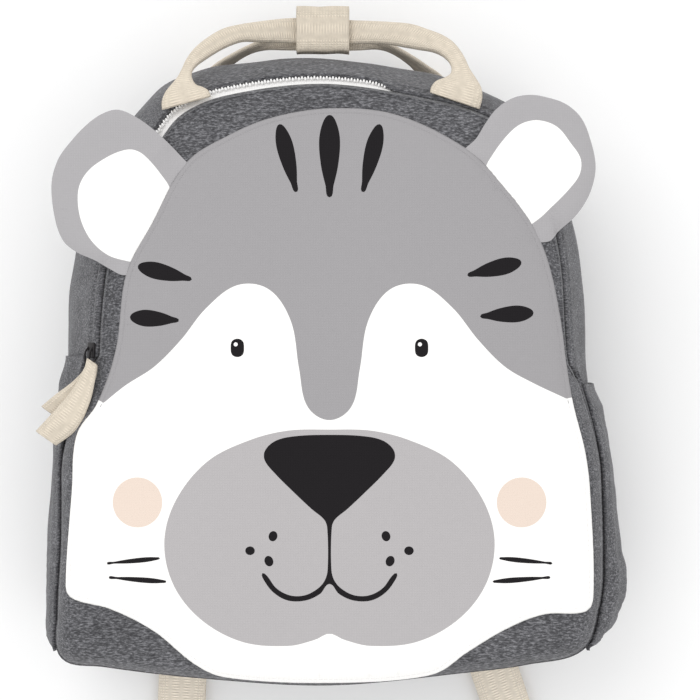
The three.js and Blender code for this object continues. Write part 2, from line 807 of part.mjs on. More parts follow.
function pocketSolid(sign, height, bulge, column) {
  const steps = pocketRows.length - 1;
  const spotAt = (along, across) => {
    const row = pocketRows[along];
    const over = pocketAcross[across];
    const y = -pocketBase + row.high * height;
    const up = Math.max(y / halfHeight, -0.82);
    const side = outlineSide(up, sign);
    const inset = wallInset(over.at, side, smooth(boxTop, roundFoot, up));
    const wall = Math.abs(side) * (halfWidth - inset);
    const out = seamGap * 2 + row[column] * over.out * bulge;
    return new THREE.Vector3(sign * (wall + out), y, backRise + over.at * bodyDepth);
  };
  return slabSolid(steps, pocketAcross.length - 1, (along, across, side) => {
    const acrossSteps = pocketAcross.length - 1;
    const run = spotAt(Math.min(along + 1, steps), across).sub(spotAt(Math.max(along - 1, 0), across));
    const over = spotAt(along, Math.min(across + 1, acrossSteps))
      .sub(spotAt(along, Math.max(across - 1, 0)));
    const normal = run.cross(over).normalize();
    if (normal.x * sign < 0) {
      normal.negate();
    }
    return spotAt(along, across).addScaledVector(normal, side * pocketWall);
  });
}

const pocketLeft = pocketSolid(-1, pocketHeightLeft, pocketBulgeLeft, 'left');
const pocketRight = pocketSolid(1, pocketHeightRight, pocketBulgeRight, 'right');

// Padded shoulder straps, flat under the back, with soft edges
const strapSection = [
  { side: -0.5, low: 0.32, high: 0.68 },
  { side: -0.42, low: 0, high: 1 },
  { side: 0.42, low: 0, high: 1 },
  { side: 0.5, low: 0.32, high: 0.68 },
];

function strapSolid(sign) {
  const run = new THREE.CatmullRomCurve3(strapRows.map((row) => new THREE.Vector3(
    sign * row.side * halfWidth,
    row.up * halfHeight,
    0,
  )));
  const girth = new THREE.CatmullRomCurve3(
    strapRows.map((row) => new THREE.Vector3(row.wide * strapWidth, 0, 0)),
  );
  const steps = 16;
  return slabSolid(steps, strapSection.length - 1, (along, across, side) => {
    const tangent = run.getTangent(along / steps);
    const sideways = new THREE.Vector3(-tangent.y, tangent.x, 0).normalize();
    const section = strapSection[across];
    const spot = run.getPoint(along / steps);
    spot.addScaledVector(sideways, section.side * girth.getPoint(along / steps).x);
    spot.z = (side ? section.high : section.low) * strapThickness;
    return spot;
  });
}

const strapLeft = strapSolid(-1);
const strapRight = strapSolid(1);

// Webbing of the straps, flat on the ground and folded back to the base seam
const webbingTop = strapRows[strapRows.length - 1].side;

function webbingSolid(sign, end) {
  const spine = webbingRows.map((row) => new THREE.Vector3(
    mix(sign * webbingTop, end, row.over) * halfWidth,
    row.up * halfHeight,
    row.rise * strapThickness,
  ));
  const aim = spine[threadedRows + 3].clone().sub(spine[threadedRows - 1]);
  const slant = new THREE.Vector3(-aim.y, aim.x, 0).normalize();
  return ribbonSolid(spine.map((spot, at) => ({
    spot,
    sideways: at < threadedRows ? new THREE.Vector3(1, 0, 0) : slant,
    wide: webbingWidth,
    thick: webbingThickness,
  })));
}

const webbingLeft = webbingSolid(-1, webbingLeftEnd);
const webbingRight = webbingSolid(1, webbingRightEnd);

// Plain adjusters, flat plates with two slots
function adjusterSolid(sign) {
  const block = (row, width, height) => {
    const length = (row.from - row.to) * halfHeight;
    const box = new THREE.BoxGeometry(width, length, height);
    box.translate(
      sign * webbingTop * halfWidth,
      row.to * halfHeight + length / 2,
      strapThickness * 0.45,
    );
    return toSolid(settle(box));
  };
  const slotWidth = webbingWidth + webbingThickness;
  const plate = block(adjusterRows[0], adjusterWidth, adjusterThickness);
  const upperSlot = block(adjusterRows[1], slotWidth, adjusterThickness * 2);
  const lowerSlot = block(adjusterRows[2], slotWidth, adjusterThickness * 2);
  return toGeometry(plate.subtract(upperSlot).subtract(lowerSlot));
}

const adjusterLeft = adjusterSolid(-1);
const adjusterRight = adjusterSolid(1);

// Materials
const marl = { color: 0x666669, roughness: 0.95, metalness: 0 };
const canvas = { color: 0xfbfaf7, roughness: 0.9, metalness: 0 };
const earCloth = { color: 0xbab8ba, roughness: 0.9, metalness: 0 };
const cream = { color: 0xe8dcca, roughness: 0.88, metalness: 0 };
const whiteTape = { color: 0xf1efed, roughness: 0.8, metalness: 0 };
const whiteCoil = { color: 0xf6f5f3, roughness: 0.4, metalness: 0 };
const blackMetal = { color: 0x1a171a, roughness: 0.45, metalness: 0.6 };
const darkPlastic = { color: 0x2b2a2c, roughness: 0.5, metalness: 0 };

const group = new THREE.Group();
group.name = 'kids_animal_backpack';

function add(name, geometry, finish) {
  const mesh = new THREE.Mesh(geometry, new THREE.MeshStandardMaterial(finish));
  mesh.name = name;
  group.add(mesh);
}

add('gusset', gusset, marl);
add('front_panel', frontPanel, marl);
add('back_panel', backPanel, marl);
add('face_panel', facePanel, canvas);
add('ear_left', earLeft, earCloth);
add('ear_right', earRight, earCloth);
add('zip_tape', zipTape, whiteTape);
add('zip_coil', zipCoil, whiteCoil);
add('zip_slider', zipSlider, blackMetal);
add('zip_pull', zipPull, cream);
add('handle_front', handleFront, cream);
add('handle_rear', handleRear, cream);
add('handle_wrap', handleWrap, cream);
add('pocket_left', pocketLeft, marl);
add('pocket_right', pocketRight, marl);
add('strap_left', strapLeft, marl);
add('strap_right', strapRight, marl);
add('webbing_left', webbingLeft, cream);
add('webbing_right', webbingRight, cream);
add('adjuster_left', adjusterLeft, darkPlastic);
add('adjuster_right', adjusterRight, darkPlastic);

// Origin at the middle of the footprint, on the ground
const extent = new THREE.Box3().setFromObject(group);
const shift = extent.getCenter(new THREE.Vector3());
shift.z = extent.min.z;
group.children.forEach((mesh) => mesh.geometry.translate(-shift.x, -shift.y, -shift.z));

export default group;
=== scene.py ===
"""A soft kids' backpack with an animal face, lying on its back with the face up."""
import math

import bmesh
import bpy
from mathutils import Matrix, Vector, geometry, kdtree, noise
from mathutils.bvhtree import BVHTree


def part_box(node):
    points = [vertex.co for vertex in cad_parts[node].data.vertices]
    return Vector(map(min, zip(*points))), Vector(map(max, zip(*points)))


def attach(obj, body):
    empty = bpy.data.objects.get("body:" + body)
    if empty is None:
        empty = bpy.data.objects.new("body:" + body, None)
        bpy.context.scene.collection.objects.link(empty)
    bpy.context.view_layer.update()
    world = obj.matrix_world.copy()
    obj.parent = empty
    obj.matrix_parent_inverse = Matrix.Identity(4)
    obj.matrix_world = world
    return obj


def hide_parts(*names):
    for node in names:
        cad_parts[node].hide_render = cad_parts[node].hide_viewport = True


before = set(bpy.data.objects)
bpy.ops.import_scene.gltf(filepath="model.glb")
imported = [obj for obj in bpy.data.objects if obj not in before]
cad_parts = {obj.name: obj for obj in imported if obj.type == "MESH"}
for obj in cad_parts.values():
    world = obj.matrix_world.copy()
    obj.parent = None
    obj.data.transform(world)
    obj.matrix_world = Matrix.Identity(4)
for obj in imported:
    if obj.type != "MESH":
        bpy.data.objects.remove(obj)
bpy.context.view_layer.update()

# SIDE WALL
# One long strip of grey marl sweatshirt cloth, sewn to the back and to the front.
# It has no stiffener, so it sags between its seams, and its edge rolls over the zip.
half_width, half_height, depth, back_rise = 147.5, 161.5, 108.0, 6.3
wrap_low, wrap_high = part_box("handle_wrap")
bag_middle = Vector(((wrap_low.x + wrap_high.x) / 2 + 0.00162, (wrap_low.y + wrap_high.y) / 2 - 0.17361, 0))
to_frame = Matrix.Translation(bag_middle) @ Matrix.Diagonal((0.001, 0.001, 0.001, 1))
columns, wall_steps, wall_thick = 400, 48, 2.0
box_top, round_foot = -0.3, 0.1
left_draw, right_draw = 0.3, 0.18
zip_left_end, zip_right_end = 0.05, 0.02


def line_through(points, count, closed=False):
    """Evenly spaced spots on a smooth line through the given ones."""
    spots = [Vector(point) for point in points]
    total = len(spots)

    def spot_at(at):
        return spots[at % total] if closed else spots[min(max(at, 0), total - 1)]

    dense = [spots[0]]
    for at in range(total if closed else total - 1):
        start, end = spot_at(at), spot_at(at + 1)
        reach = (end - start).length / 3
        leave = (end - spot_at(at - 1)).normalized() * reach
        arrive = (spot_at(at + 2) - start).normalized() * reach
        dense += geometry.interpolate_bezier(start, start + leave, end - arrive, end, 13)[1:]
    runs = [0.0]
    for before, after in zip(dense, dense[1:]):
        runs.append(runs[-1] + (after - before).length)
    spread, at = [], 0
    for step in range(count):
        goal = runs[-1] * step / (count if closed else count - 1)
        while at < len(dense) - 2 and runs[at + 1] < goal:
            at += 1
        share = (goal - runs[at]) / max(runs[at + 1] - runs[at], 1e-9)
        spread.append(dense[at].lerp(dense[at + 1], share))
    return spread


def mix(start, end, share):
    return start + (end - start) * share


def smooth(start, end, value):
    share = min(max((value - start) / (end - start), 0), 1)
    return share * share * (3 - 2 * share)


body_outline = [
    (0.016, -0.937), (-0.411, -0.916), (-0.739, -0.881), (-0.88, -0.853), (-0.892, -0.72), (-0.88, -0.5),
    (-0.88, -0.2), (-0.89, 0.117), (-0.862, 0.387), (-0.816, 0.546), (-0.74, 0.689), (-0.653, 0.816),
    (-0.556, 0.917), (-0.382, 0.975), (-0.01, 1), (0.365, 0.943), (0.625, 0.863), (0.729, 0.752),
    (0.816, 0.594), (0.87, 0.387), (0.888, 0.149), (0.9, -0.025), (0.915, -0.232), (0.925, -0.581),
    (0.912, -0.7), (0.858, -0.83), (0.674, -0.874), (0.476, -0.898),
]
rim = [
    (spot.x / half_width, spot.y / half_height)
    for spot in line_through([(side * half_width, up * half_height, 0) for side, up in body_outline], columns, True)
]


def ring_spot(column, row):
    """A spot on the body: row gives how far in and how high, for the round top and the boxy bottom."""
    side, up = rim[column % columns]
    round_in, box_in, round_at, box_at = row
    share = smooth(box_top, round_foot, up)
    drawn = round_in * (1 + left_draw * max(-side, 0) - right_draw * max(side, 0))
    inset = mix(box_in, drawn, share) * depth
    return Vector((
        side * (half_width - inset),
        up * (half_height - inset),
        back_rise + mix(box_at, round_at, share) * depth,
    ))


wall_rows = [
    (0.11, 0.1, 0, 0), (0.035, 0.03, 0.1, 0.09), (0, 0, 0.34, 0.35), (0.03, 0, 0.58, 0.62), (0.13, 0.012, 0.8, 0.84),
]
front_edge_row = (0.18, 0.035, 0.87, 0.89)
shoulder_row = (0.255, 0.085, 0.92, 0.93)


def zip_slot(column):
    """Where the zip runs: the rear edge, the way across, the way up, and the width of the gap."""
    side, up = rim[column % columns]
    rear = ring_spot(column, wall_rows[-1])
    gap = ring_spot(column, front_edge_row) - rear
    run = ring_spot(column + 1, wall_rows[-1]) - ring_spot(column - 1, wall_rows[-1])
    across = gap.normalized()
    end = zip_left_end if side < 0 else zip_right_end
    parted = smooth(end - 0.05, end + 0.03, up)
    return rear, across, run.cross(across).normalized() * -1, mix(0.8, gap.length, parted), parted


def zip_shown(column):
    """Where the hem leaves the zip in view: over the top, from the left shoulder to past the middle."""
    side, up = rim[column % columns]
    x = side * half_width
    return smooth(-108, -98, x) * (1 - smooth(24, 44, x)) * smooth(0.5, 0.6, up)


def hem_reach(column):
    """How far the side wall's hem rolls over the zip, in millimetres."""
    width, parted = zip_slot(column)[3:]
    return mix(mix(0.4, width - 0.6, parted), 1.6, zip_shown(column))


def cloth_grid(across, along, spot, cut=(1.0, 1.0)):
    """A piece of cloth as a grid, whose corners go where spot(share across, share along) says."""
    cloth = bmesh.new()
    flat = cloth.loops.layers.uv.new("cut")
    bmesh.ops.create_grid(cloth, x_segments=across, y_segments=along, size=0.5, calc_uvs=True)
    for face in cloth.faces:
        for loop in face.loops:
            loop[flat].uv = (loop[flat].uv.x * cut[0], loop[flat].uv.y * cut[1])
    for corner in cloth.verts:
        corner.co = spot(corner.co.x + 0.5, corner.co.y + 0.5)
    return cloth


def face_out(cloth, outward):
    """Turns the cloth so that its right side looks outward(spot)."""
    cloth.normal_update()
    if sum(face.normal.dot(outward(face.calc_center_median())) for face in cloth.faces) < 0:
        bmesh.ops.reverse_faces(cloth, faces=cloth.faces)


def make_piece(name, cloth, finishes, wall=0.0, rounds=0):
    """Turns a mesh in bag millimetres into a piece of the bag, in the shared frame."""
    bmesh.ops.transform(cloth, matrix=to_frame, verts=cloth.verts)
    mesh = bpy.data.meshes.new(name)
    cloth.to_mesh(mesh)
    cloth.free()
    for finish in finishes:
        mesh.materials.append(finish)
    mesh.shade_smooth()
    piece = bpy.data.objects.new(name, mesh)
    bpy.context.collection.objects.link(piece)
    if wall:
        layer = piece.modifiers.new("cloth thickness", "SOLIDIFY")
        layer.thickness, layer.offset = wall * 0.001, -1
    if rounds:
        softened = piece.modifiers.new("soft edges", "SUBSURF")
        softened.levels = softened.render_levels = rounds
    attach(piece, "root")
    return piece


def paint(colour):
    """A hex colour as printed on a chart, in the linear values that the shader takes."""
    parts = [int(colour[at:at + 2], 16) / 255 for at in (1, 3, 5)]
    return (*(part / 12.92 if part < 0.04045 else ((part + 0.055) / 1.055) ** 2.4 for part in parts), 1)


def add(material, kind, inputs=(), **settings):
    """Adds a node to a material, with its settings and what goes into its sockets."""
    tree = material.node_tree
    node = tree.nodes.new(kind)
    for setting, value in settings.items():
        setattr(node, setting, value)
    for socket, value in dict(inputs).items():
        if isinstance(value, bpy.types.NodeSocket):
            tree.links.new(value, node.inputs[socket])
        else:
            node.inputs[socket].default_value = value
    return node


def blank_material(name):
    """A new material with only its output, and its Object coordinates."""
    material = bpy.data.materials.new(name)
    material.use_nodes = True
    material.node_tree.nodes.clear()
    add(material, "ShaderNodeOutputMaterial")
    return material, add(material, "ShaderNodeTexCoord")


def close_material(material, shader):
    material.node_tree.links.new(shader.outputs[0], material.node_tree.nodes["Material Output"].inputs["Surface"])
    return material


# Marl sweatshirt cloth, knitted from dark and light fibres and brushed: a speckle of
# fibres about 1 mm long, drawn out along the rows of the knit, with no gloss at all.
marl, marl_place = blank_material("brushed_marl_sweatshirt_knit")
along_knit = add(marl, "ShaderNodeMapping", {"Vector": marl_place.outputs["Object"], "Scale": (0.35, 1, 1)})
speckle = add(marl, "ShaderNodeTexNoise", {
    "Vector": along_knit.outputs[0], "Scale": 1300, "Detail": 3, "Roughness": 0.7,
})
fibre = add(marl, "ShaderNodeValToRGB", {"Fac": speckle.outputs["Fac"]})
fibre.color_ramp.elements[0].position, fibre.color_ramp.elements[0].color = 0.32, paint("#303033")
fibre.color_ramp.elements[1].position, fibre.color_ramp.elements[1].color = 0.7, paint("#8c8c90")
middle = fibre.color_ramp.elements.new(0.5)
middle.color = paint("#525255")
cloud = add(marl, "ShaderNodeTexNoise", {"Vector": along_knit.outputs[0], "Scale": 120, "Detail": 2})
mottle = add(marl, "ShaderNodeMapRange", {
    "Value": cloud.outputs["Fac"], "From Min": 0.3, "From Max": 0.7, "To Min": 0.86, "To Max": 1.14,
})
shaded = add(marl, "ShaderNodeMix", {
    "Factor": 1.0, "A": fibre.outputs["Color"], "B": mottle.outputs[0],
}, data_type="RGBA", blend_type="MULTIPLY")
marl_bump = add(marl, "ShaderNodeBump", {"Height": speckle.outputs["Fac"], "Strength": 0.5, "Distance": 0.0004})
close_material(marl, add(marl, "ShaderNodeBsdfPrincipled", {
    "Base Color": shaded.outputs[2], "Roughness": 0.95, "Specular IOR Level": 0.2, "Sheen Weight": 0.15,
    "Sheen Roughness": 0.6, "Normal": marl_bump.outputs[0],
}))


def wall_line(column):
    """The side wall's section at one place: from the back seam, over the zip, to the hem."""
    line = [ring_spot(column, row) for row in wall_rows]
    rear, across, up, width, parted = zip_slot(column)
    reach = hem_reach(column)
    inward = rear + up * -1.6 - across * 0.4
    if parted < 0.02:
        return line + [inward + up * 0.9, inward, inward]
    groove, crest = 1.0 * parted, 1.25 * parted
    line[-1] = rear
    line += [
        rear + across * reach * 0.2 - up * groove,
        rear + across * reach * 0.55 + up * crest,
        rear + across * reach * 0.92 + up * crest * 0.5,
        rear + across * reach - up * 0.5,
        rear + across * (reach - 0.9) - up * 1.3,
        rear + across * (reach - 2.2) - up * 1.2,
    ]
    return line


wall_lines = [line_through(wall_line(column), wall_steps + 1) for column in range(columns)]
pocket_base, pocket_heights, pocket_sag, sag_reach = 134.0, {-1: 144.0, 1: 130.0}, 2.8, 24.0


def wall_spot(around, rising):
    spot = wall_lines[round(around * columns) % columns][round(rising * wall_steps)].copy()
    side, up = rim[round(around * columns) % columns]
    middle_share = smooth(0, 0.3, rising) * (1 - smooth(0.6, 0.8, rising))
    sag = noise.noise(Vector((spot.x / 55, spot.y / 55, spot.z / 34))) * 2.2
    sag += noise.noise(Vector((spot.x / 22, spot.y / 22, spot.z / 30 + 7))) * 0.9
    height, over = pocket_heights[-1 if side < 0 else 1], up * half_height + pocket_base
    behind = smooth(0.74, 0.86, abs(side)) * smooth(0, sag_reach, over)
    behind *= 1 - smooth(height, height + sag_reach, over)
    sunk = pocket_sag * behind * (1 - smooth(height - 30, height - 8, over))
    spot.x -= math.copysign(sunk * middle_share, side)
    return spot + Vector((side, up, 0)).normalized() * sag * (1 - 0.8 * behind) * middle_share


side_wall_cloth = cloth_grid(columns, wall_steps, wall_spot)
bmesh.ops.remove_doubles(side_wall_cloth, verts=side_wall_cloth.verts, dist=1e-4)
face_out(side_wall_cloth, lambda spot: Vector((spot.x, spot.y, 0)))
side_wall = make_piece("side_wall", side_wall_cloth, [marl], wall=wall_thick)
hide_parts("gusset")

# FRONT
# The domed front of the same marl cloth. Its edge is turned under along the zip,
# and below the zip it is sewn straight to the side wall.
crown_rows = [(0.82, 0.957), (0.56, 0.983), (0.28, 0.996), (0, 1)]
front_steps = 64


def front_line(column):
    """The front's section at one place: from the turned edge to the middle of the dome."""
    rear, across, up, width, parted = zip_slot(column)
    shoulder = ring_spot(column, shoulder_row)
    start = rear + across * width
    edge = [
        start + across * mix(0.4, 3.2, parted) - up * 1.6,
        start + across * mix(0.1, 0.3, parted) - up * 1.2,
        start + across * 0.05 - up * 0.1,
        start + across * mix(0.6, 1.2, parted) + up * mix(0.1, 0.5, parted),
    ]
    return edge + [shoulder] + [
        Vector((shoulder.x * reach, shoulder.y * reach, back_rise + at * depth)) for reach, at in crown_rows
    ]


front_lines = [line_through(front_line(column), front_steps + 1) for column in range(columns)]


def front_spot(around, rising):
    return front_lines[round(around * columns) % columns][round(rising * front_steps)]


front_cloth = cloth_grid(columns, front_steps, front_spot)
bmesh.ops.remove_doubles(front_cloth, verts=front_cloth.verts, dist=1e-4)
face_out(front_cloth, lambda spot: Vector((0, 0, 1)))
front_surface = BVHTree.FromBMesh(front_cloth)
front = make_piece("front", front_cloth, [marl], wall=wall_thick)
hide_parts("front_panel")


def front_height(x, y):
    """How high the front lies at a place."""
    hit = front_surface.ray_cast(Vector((x, y, 200)), Vector((0, 0, -1)))[0]
    return hit.z if hit else back_rise + depth * 0.85


# PADDED BACK
# The back that lies on the wearer: two layers of cloth with a thin foam between them,
# sewn to the side wall all round.
back_flat, back_steps = 6.3, 100


# Its section, from the middle of its inside round the edge to the middle of its outside.
back_section = [
    (0.0, 2.6), (0.45, 2.2), (0.8, 1.9), (0.93, 1.7), (0.975, 2.6), (0.972, 4.6), (0.93, 5.6), (0.8, 5.8),
    (0.45, 5.9), (0, 6.0),
]


def back_spot(around, rising):
    column = round(around * back_steps) * columns // back_steps
    spot = ring_spot(column, wall_rows[0])
    reach, height = back_section[round(rising * 9)]
    return Vector((spot.x * reach, spot.y * reach, back_flat + height))


back_cloth = cloth_grid(back_steps, len(back_section) - 1, back_spot)
bmesh.ops.remove_doubles(back_cloth, verts=back_cloth.verts, dist=1e-4)
bmesh.ops.recalc_face_normals(back_cloth, faces=back_cloth.faces)
back = make_piece("back_pad", back_cloth, [marl])


def swell(piece, voxel, pressure, travel):
    """Lets the air in: remeshes the pad, swells it as cloth, and holds each point near its start."""
    remesh = piece.modifiers.new("cut", "REMESH")
    remesh.mode, remesh.voxel_size = "VOXEL", voxel * 0.001
    shape = bpy.data.meshes.new_from_object(piece.evaluated_get(bpy.context.evaluated_depsgraph_get()))
    piece.modifiers.clear()
    piece.data = shape
    start = [vert.co.copy() for vert in shape.vertices]
    cloth = piece.modifiers.new("cloth", "CLOTH")
    cloth.settings.use_pressure, cloth.settings.uniform_pressure_force = True, pressure
    cloth.settings.effector_weights.gravity = 0
    cloth.settings.quality = 4
    for step in range(1, 21):
        bpy.context.scene.frame_set(step)
    swollen = piece.evaluated_get(bpy.context.evaluated_depsgraph_get()).data
    for vert, origin, moved in zip(shape.vertices, start, [other.co.copy() for other in swollen.vertices]):
        move = moved - origin
        vert.co = origin + move * min(1, travel * 0.001 / max(move.length, 1e-9))
    piece.modifiers.clear()
    bpy.context.scene.frame_set(1)
    shape.shade_smooth()


swell(back, 5, 4, 1.4)
softer = back.modifiers.new("soft edges", "SUBSURF")
softer.levels = softer.render_levels = 1
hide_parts("back_panel")

# FACE
# An animal's face printed on plain white cotton canvas. Its edge is turned under and
# top-stitched to the front, so it lies on the dome and bends with it.
face_x, face_y, face_half_width, face_half_height = 2.2, -11.2, 127.25, 140.6
edge_count, stitch_inset = 300, 2.4
face_outline = [
    (0, 1), (-0.219, 0.968), (-0.382, 0.907), (-0.542, 0.814), (-0.672, 0.603), (-0.771, 0.431), (-0.809, 0.18),
    (-0.882, -0.014), (-0.958, -0.114), (-0.975, -0.3), (-1, -0.645), (-0.97, -0.68), (-0.83, -0.712),
    (-0.661, -0.79), (-0.516, -0.9), (-0.398, -0.955), (0, -0.975), (0.379, -0.95), (0.52, -0.862),
    (0.672, -0.779), (0.81, -0.731), (0.977, -0.721), (1, -0.66), (0.985, -0.303), (0.966, -0.172), (0.92, 0),
    (0.88, 0.26), (0.829, 0.472), (0.768, 0.6), (0.65, 0.74), (0.516, 0.862), (0.25, 0.979),
]
face_edge = line_through(
    [(face_x + side * face_half_width, face_y + up * face_half_height, 0) for side, up in face_outline],
    edge_count, True,
)


def mirrored(half):
    """A shape drawn from its top middle down the left half, with its right half added."""
    return half + [(-x, y) for x, y in reversed(half) if abs(x) > 0.01]


# The print, in millimetres from the middle line of the face and from the middle of the bag.
cheek_line = [
    (-112, -11), (-98, -4), (-84, 5), (-71, 18), (-59, 33), (-44, 44), (-29, 42), (-18.5, 27), (-14.5, 4),
    (-10.5, -14), (0, -20.5), (10.5, -14), (14.5, 4), (18.5, 27), (29, 42), (44, 44), (59, 33), (71, 18),
    (84, 5), (98, -3), (114, -9),
]
muzzle = mirrored([
    (0, -25), (-20, -25.5), (-38, -30), (-58, -40), (-73, -58), (-79, -78), (-75, -99), (-62, -116), (-42, -127),
    (-20, -129), (-7, -126), (0, -123),
])
nose_and_mouth = mirrored([
    (0, -27.5), (-15, -28), (-25, -30), (-30.5, -34.5), (-31, -39.5), (-26, -46), (-17, -55), (-8.5, -63),
    (-2.6, -68), (-1.1, -72), (-0.9, -92), (-2.4, -97.5), (-6, -101.5), (-12, -104.5), (-19, -104.5),
    (-25.5, -101), (-30, -95), (-32.2, -93.8), (-31.8, -96.5), (-27, -103), (-20, -107), (-11.5, -107),
    (-4.5, -103.8), (0, -99),
])
eye = [(-3.2, 0), (-2.6, 3.2), (0, 4.4), (2.6, 3.2), (3.2, 0), (2.6, -3.2), (0, -4.4), (-2.6, -3.2)]
glint = [(-1, 0), (0, 1), (1, 0), (0, -1)]
round_spot = [(math.cos(turn * math.pi / 5), math.sin(turn * math.pi / 5)) for turn in range(10)]
leaf = [
    (-0.5, 0), (-0.42, 0.3), (-0.2, 0.5), (0.1, 0.42), (0.35, 0.2), (0.5, 0), (0.35, -0.2), (0.1, -0.42),
    (-0.2, -0.5), (-0.42, -0.3),
]


def set_at(shape, x, y, wide=1.0, high=1.0, turn=0.0):
    """A small shape of the print, sized, turned and moved to its place."""
    bend, lean = math.cos(math.radians(turn)), math.sin(math.radians(turn))
    return [
        (x + (px * wide) * bend - (py * high) * lean, y + (px * wide) * lean + (py * high) * bend) for px, py in shape
    ]


white_spots, light_spots, grey_spots = [], [], []
light_spots.append(("black", nose_and_mouth, 1.2))
for sign in (-1, 1):
    for x, y, wide, high, turn in ((27, -76, 4.2, 5, 15), (38, -83, 4.6, 4.2, 0), (29, -88, 4.2, 5.2, -20)):
        light_spots.append(("black", set_at(round_spot, sign * x, y, wide / 2, high / 2, sign * turn), 0.8))
    for x, y, wide, high, turn in ((94, -88, 26, 2.4, -6), (92, -97, 28, 2.6, 4)):
        whisker = set_at(leaf, sign * x, y, sign * wide, high, sign * turn)
        white_spots.append(("black", whisker if sign > 0 else whisker[::-1], 1.0))
    white_spots.append(("blush", set_at(round_spot, sign * 92, -60, 12, 12), 1.5))
for x, y, wide, high, turn in (
    (0, 106, 40, 10, -90), (-20, 105, 34, 8, -76), (20, 105, 34, 8, -104), (-79, 50, 27, 8, -14),
    (-84, 28, 24, 8, -4), (79, 52, 27, 8, 194), (85, 30, 26, 8, 184),
):
    grey_spots.append(("black", set_at(leaf, x, y, wide, high, turn), 1.2))
for sign in (-1, 1):
    white_spots.append(("eye", set_at(eye, sign * 44, 14), 0.7))

face_cloth = bmesh.new()
finish_names = ["white", "grey", "light", "black", "blush"]


def draw_loop(cloth, spots):
    """Draws a closed line and returns its edges."""
    corners = [cloth.verts.new(spot) for spot in spots]
    return [cloth.edges.new((corners[at - 1], corners[at])) for at in range(len(corners))]


def inside_of(line, reach):
    """A closed line moved inwards."""
    total = len(line)
    turning = sum(line[at - 1].cross(line[at]).z for at in range(total))
    moved = []
    for at in range(total):
        way = (line[(at + 2) % total] - line[at - 2]).normalized()
        moved.append(line[at] + Vector((-way.y, way.x, 0)) * math.copysign(reach, turning))
    for turn in range(2):
        moved = [(moved[at - 1] + moved[at] * 2 + moved[(at + 1) % total]) / 4 for at in range(total)]
    return moved


def draw_rim(cloth, line, reaches):
    """Draws the strips of cloth along an edge, and returns the corners of the innermost line."""
    edges = draw_loop(cloth, line)
    for reach in reaches:
        inner = draw_loop(cloth, inside_of(line, reach))
        bmesh.ops.bridge_loops(cloth, edges=edges + inner)
        edges = inner
    return [edge.verts[1] for edge in edges]


def fill(cloth, edges, colour):
    """Fills what lies inside a closed line and outside the lines drawn in it."""
    made = bmesh.ops.triangle_fill(cloth, use_beauty=True, edges=edges)["geom"]
    for item in made:
        if isinstance(item, bmesh.types.BMFace):
            item.material_index = finish_names.index(colour)
            if item.normal.z < 0:
                item.normal_flip()


def shape_spots(shape, pitch):
    """The corners of a printed shape, close enough together to look smooth."""
    spots = [Vector((face_x + x, y, 0)) for x, y in shape]
    girth = sum((after - before).length for before, after in zip(spots, spots[1:] + spots[:1]))
    return line_through(spots, max(12, round(girth / pitch)), True)


edge_corners = draw_rim(face_cloth, face_edge, (0.5, 1.1, 1.8, 2.4, 3.1))
left_end, right_end = [
    min(range(edge_count), key=lambda at: (edge_corners[at].co - Vector((face_x + x, y, 0))).length)
    for x, y in (cheek_line[0], cheek_line[-1])
]
left_end, right_end = edge_corners[left_end], edge_corners[right_end]
left_y, right_y = left_end.co.y, right_end.co.y
for strip in face_cloth.faces:
    spot = strip.calc_center_median()
    lower = spot.y < (left_end if spot.x < face_x else right_end).co.y
    strip.material_index = 0 if lower else 1
cheek_spots = line_through(
    [left_end.co] + [Vector((face_x + x, y, 0)) for x, y in cheek_line[1:-1]] + [right_end.co], 190,
)
cheek_corners = [left_end] + [face_cloth.verts.new(spot) for spot in cheek_spots[1:-1]] + [right_end]
cheek_edges = [face_cloth.edges.new(pair) for pair in zip(cheek_corners, cheek_corners[1:])]
rim_edges = [
    face_cloth.edges.get((edge_corners[at], edge_corners[(at + 1) % edge_count])) for at in range(edge_count)
]
turns = [edge_corners.index(left_end), edge_corners.index(right_end)]
one_side = rim_edges[min(turns):max(turns)]
other_side = rim_edges[max(turns):] + rim_edges[:min(turns)]
lower_edges, upper_edges = sorted((one_side, other_side), key=lambda edges: min(edge.verts[0].co.y for edge in edges))
muzzle_edges = draw_loop(face_cloth, shape_spots(muzzle, 2.5))
within = {"grey": [], "white": [], "light": []}
for region, spots in (("grey", grey_spots), ("white", white_spots), ("light", light_spots)):
    for colour, shape, pitch in spots:
        edges = draw_loop(face_cloth, shape_spots(shape, pitch))
        within[region] += edges
        if colour == "eye":
            x = sum(point[0] for point in shape) / len(shape)
            y = sum(point[1] for point in shape) / len(shape)
            shine = draw_loop(face_cloth, shape_spots(set_at(glint, x - 0.8, y + 1.7), 0.4))
            fill(face_cloth, edges + shine, "black")
            fill(face_cloth, shine, "white")
        else:
            fill(face_cloth, edges, colour)
fill(face_cloth, upper_edges + cheek_edges + within["grey"], "grey")
fill(face_cloth, lower_edges + cheek_edges + muzzle_edges + within["white"], "white")
fill(face_cloth, muzzle_edges + within["light"], "light")


def cut_grid(cloth, middle, count, pitches):
    """Cuts a grid into a flat cloth, so that it can bend."""
    for at in range(-count, count + 1):
        for axis in (0, 1):
            spot, way = Vector((0, 0, 0)), Vector((0, 0, 0))
            spot[axis], way[axis] = middle[axis] + at * pitches[axis], 1
            bmesh.ops.bisect_plane(
                cloth, geom=cloth.verts[:] + cloth.edges[:] + cloth.faces[:], dist=1e-4, plane_co=spot, plane_no=way,
            )


def edge_finder(line, count):
    """A search tree of the spots along a closed line."""
    tree = kdtree.KDTree(count)
    for at, spot in enumerate(line_through(line, count, True)):
        tree.insert(spot, at)
    tree.balance()
    return tree


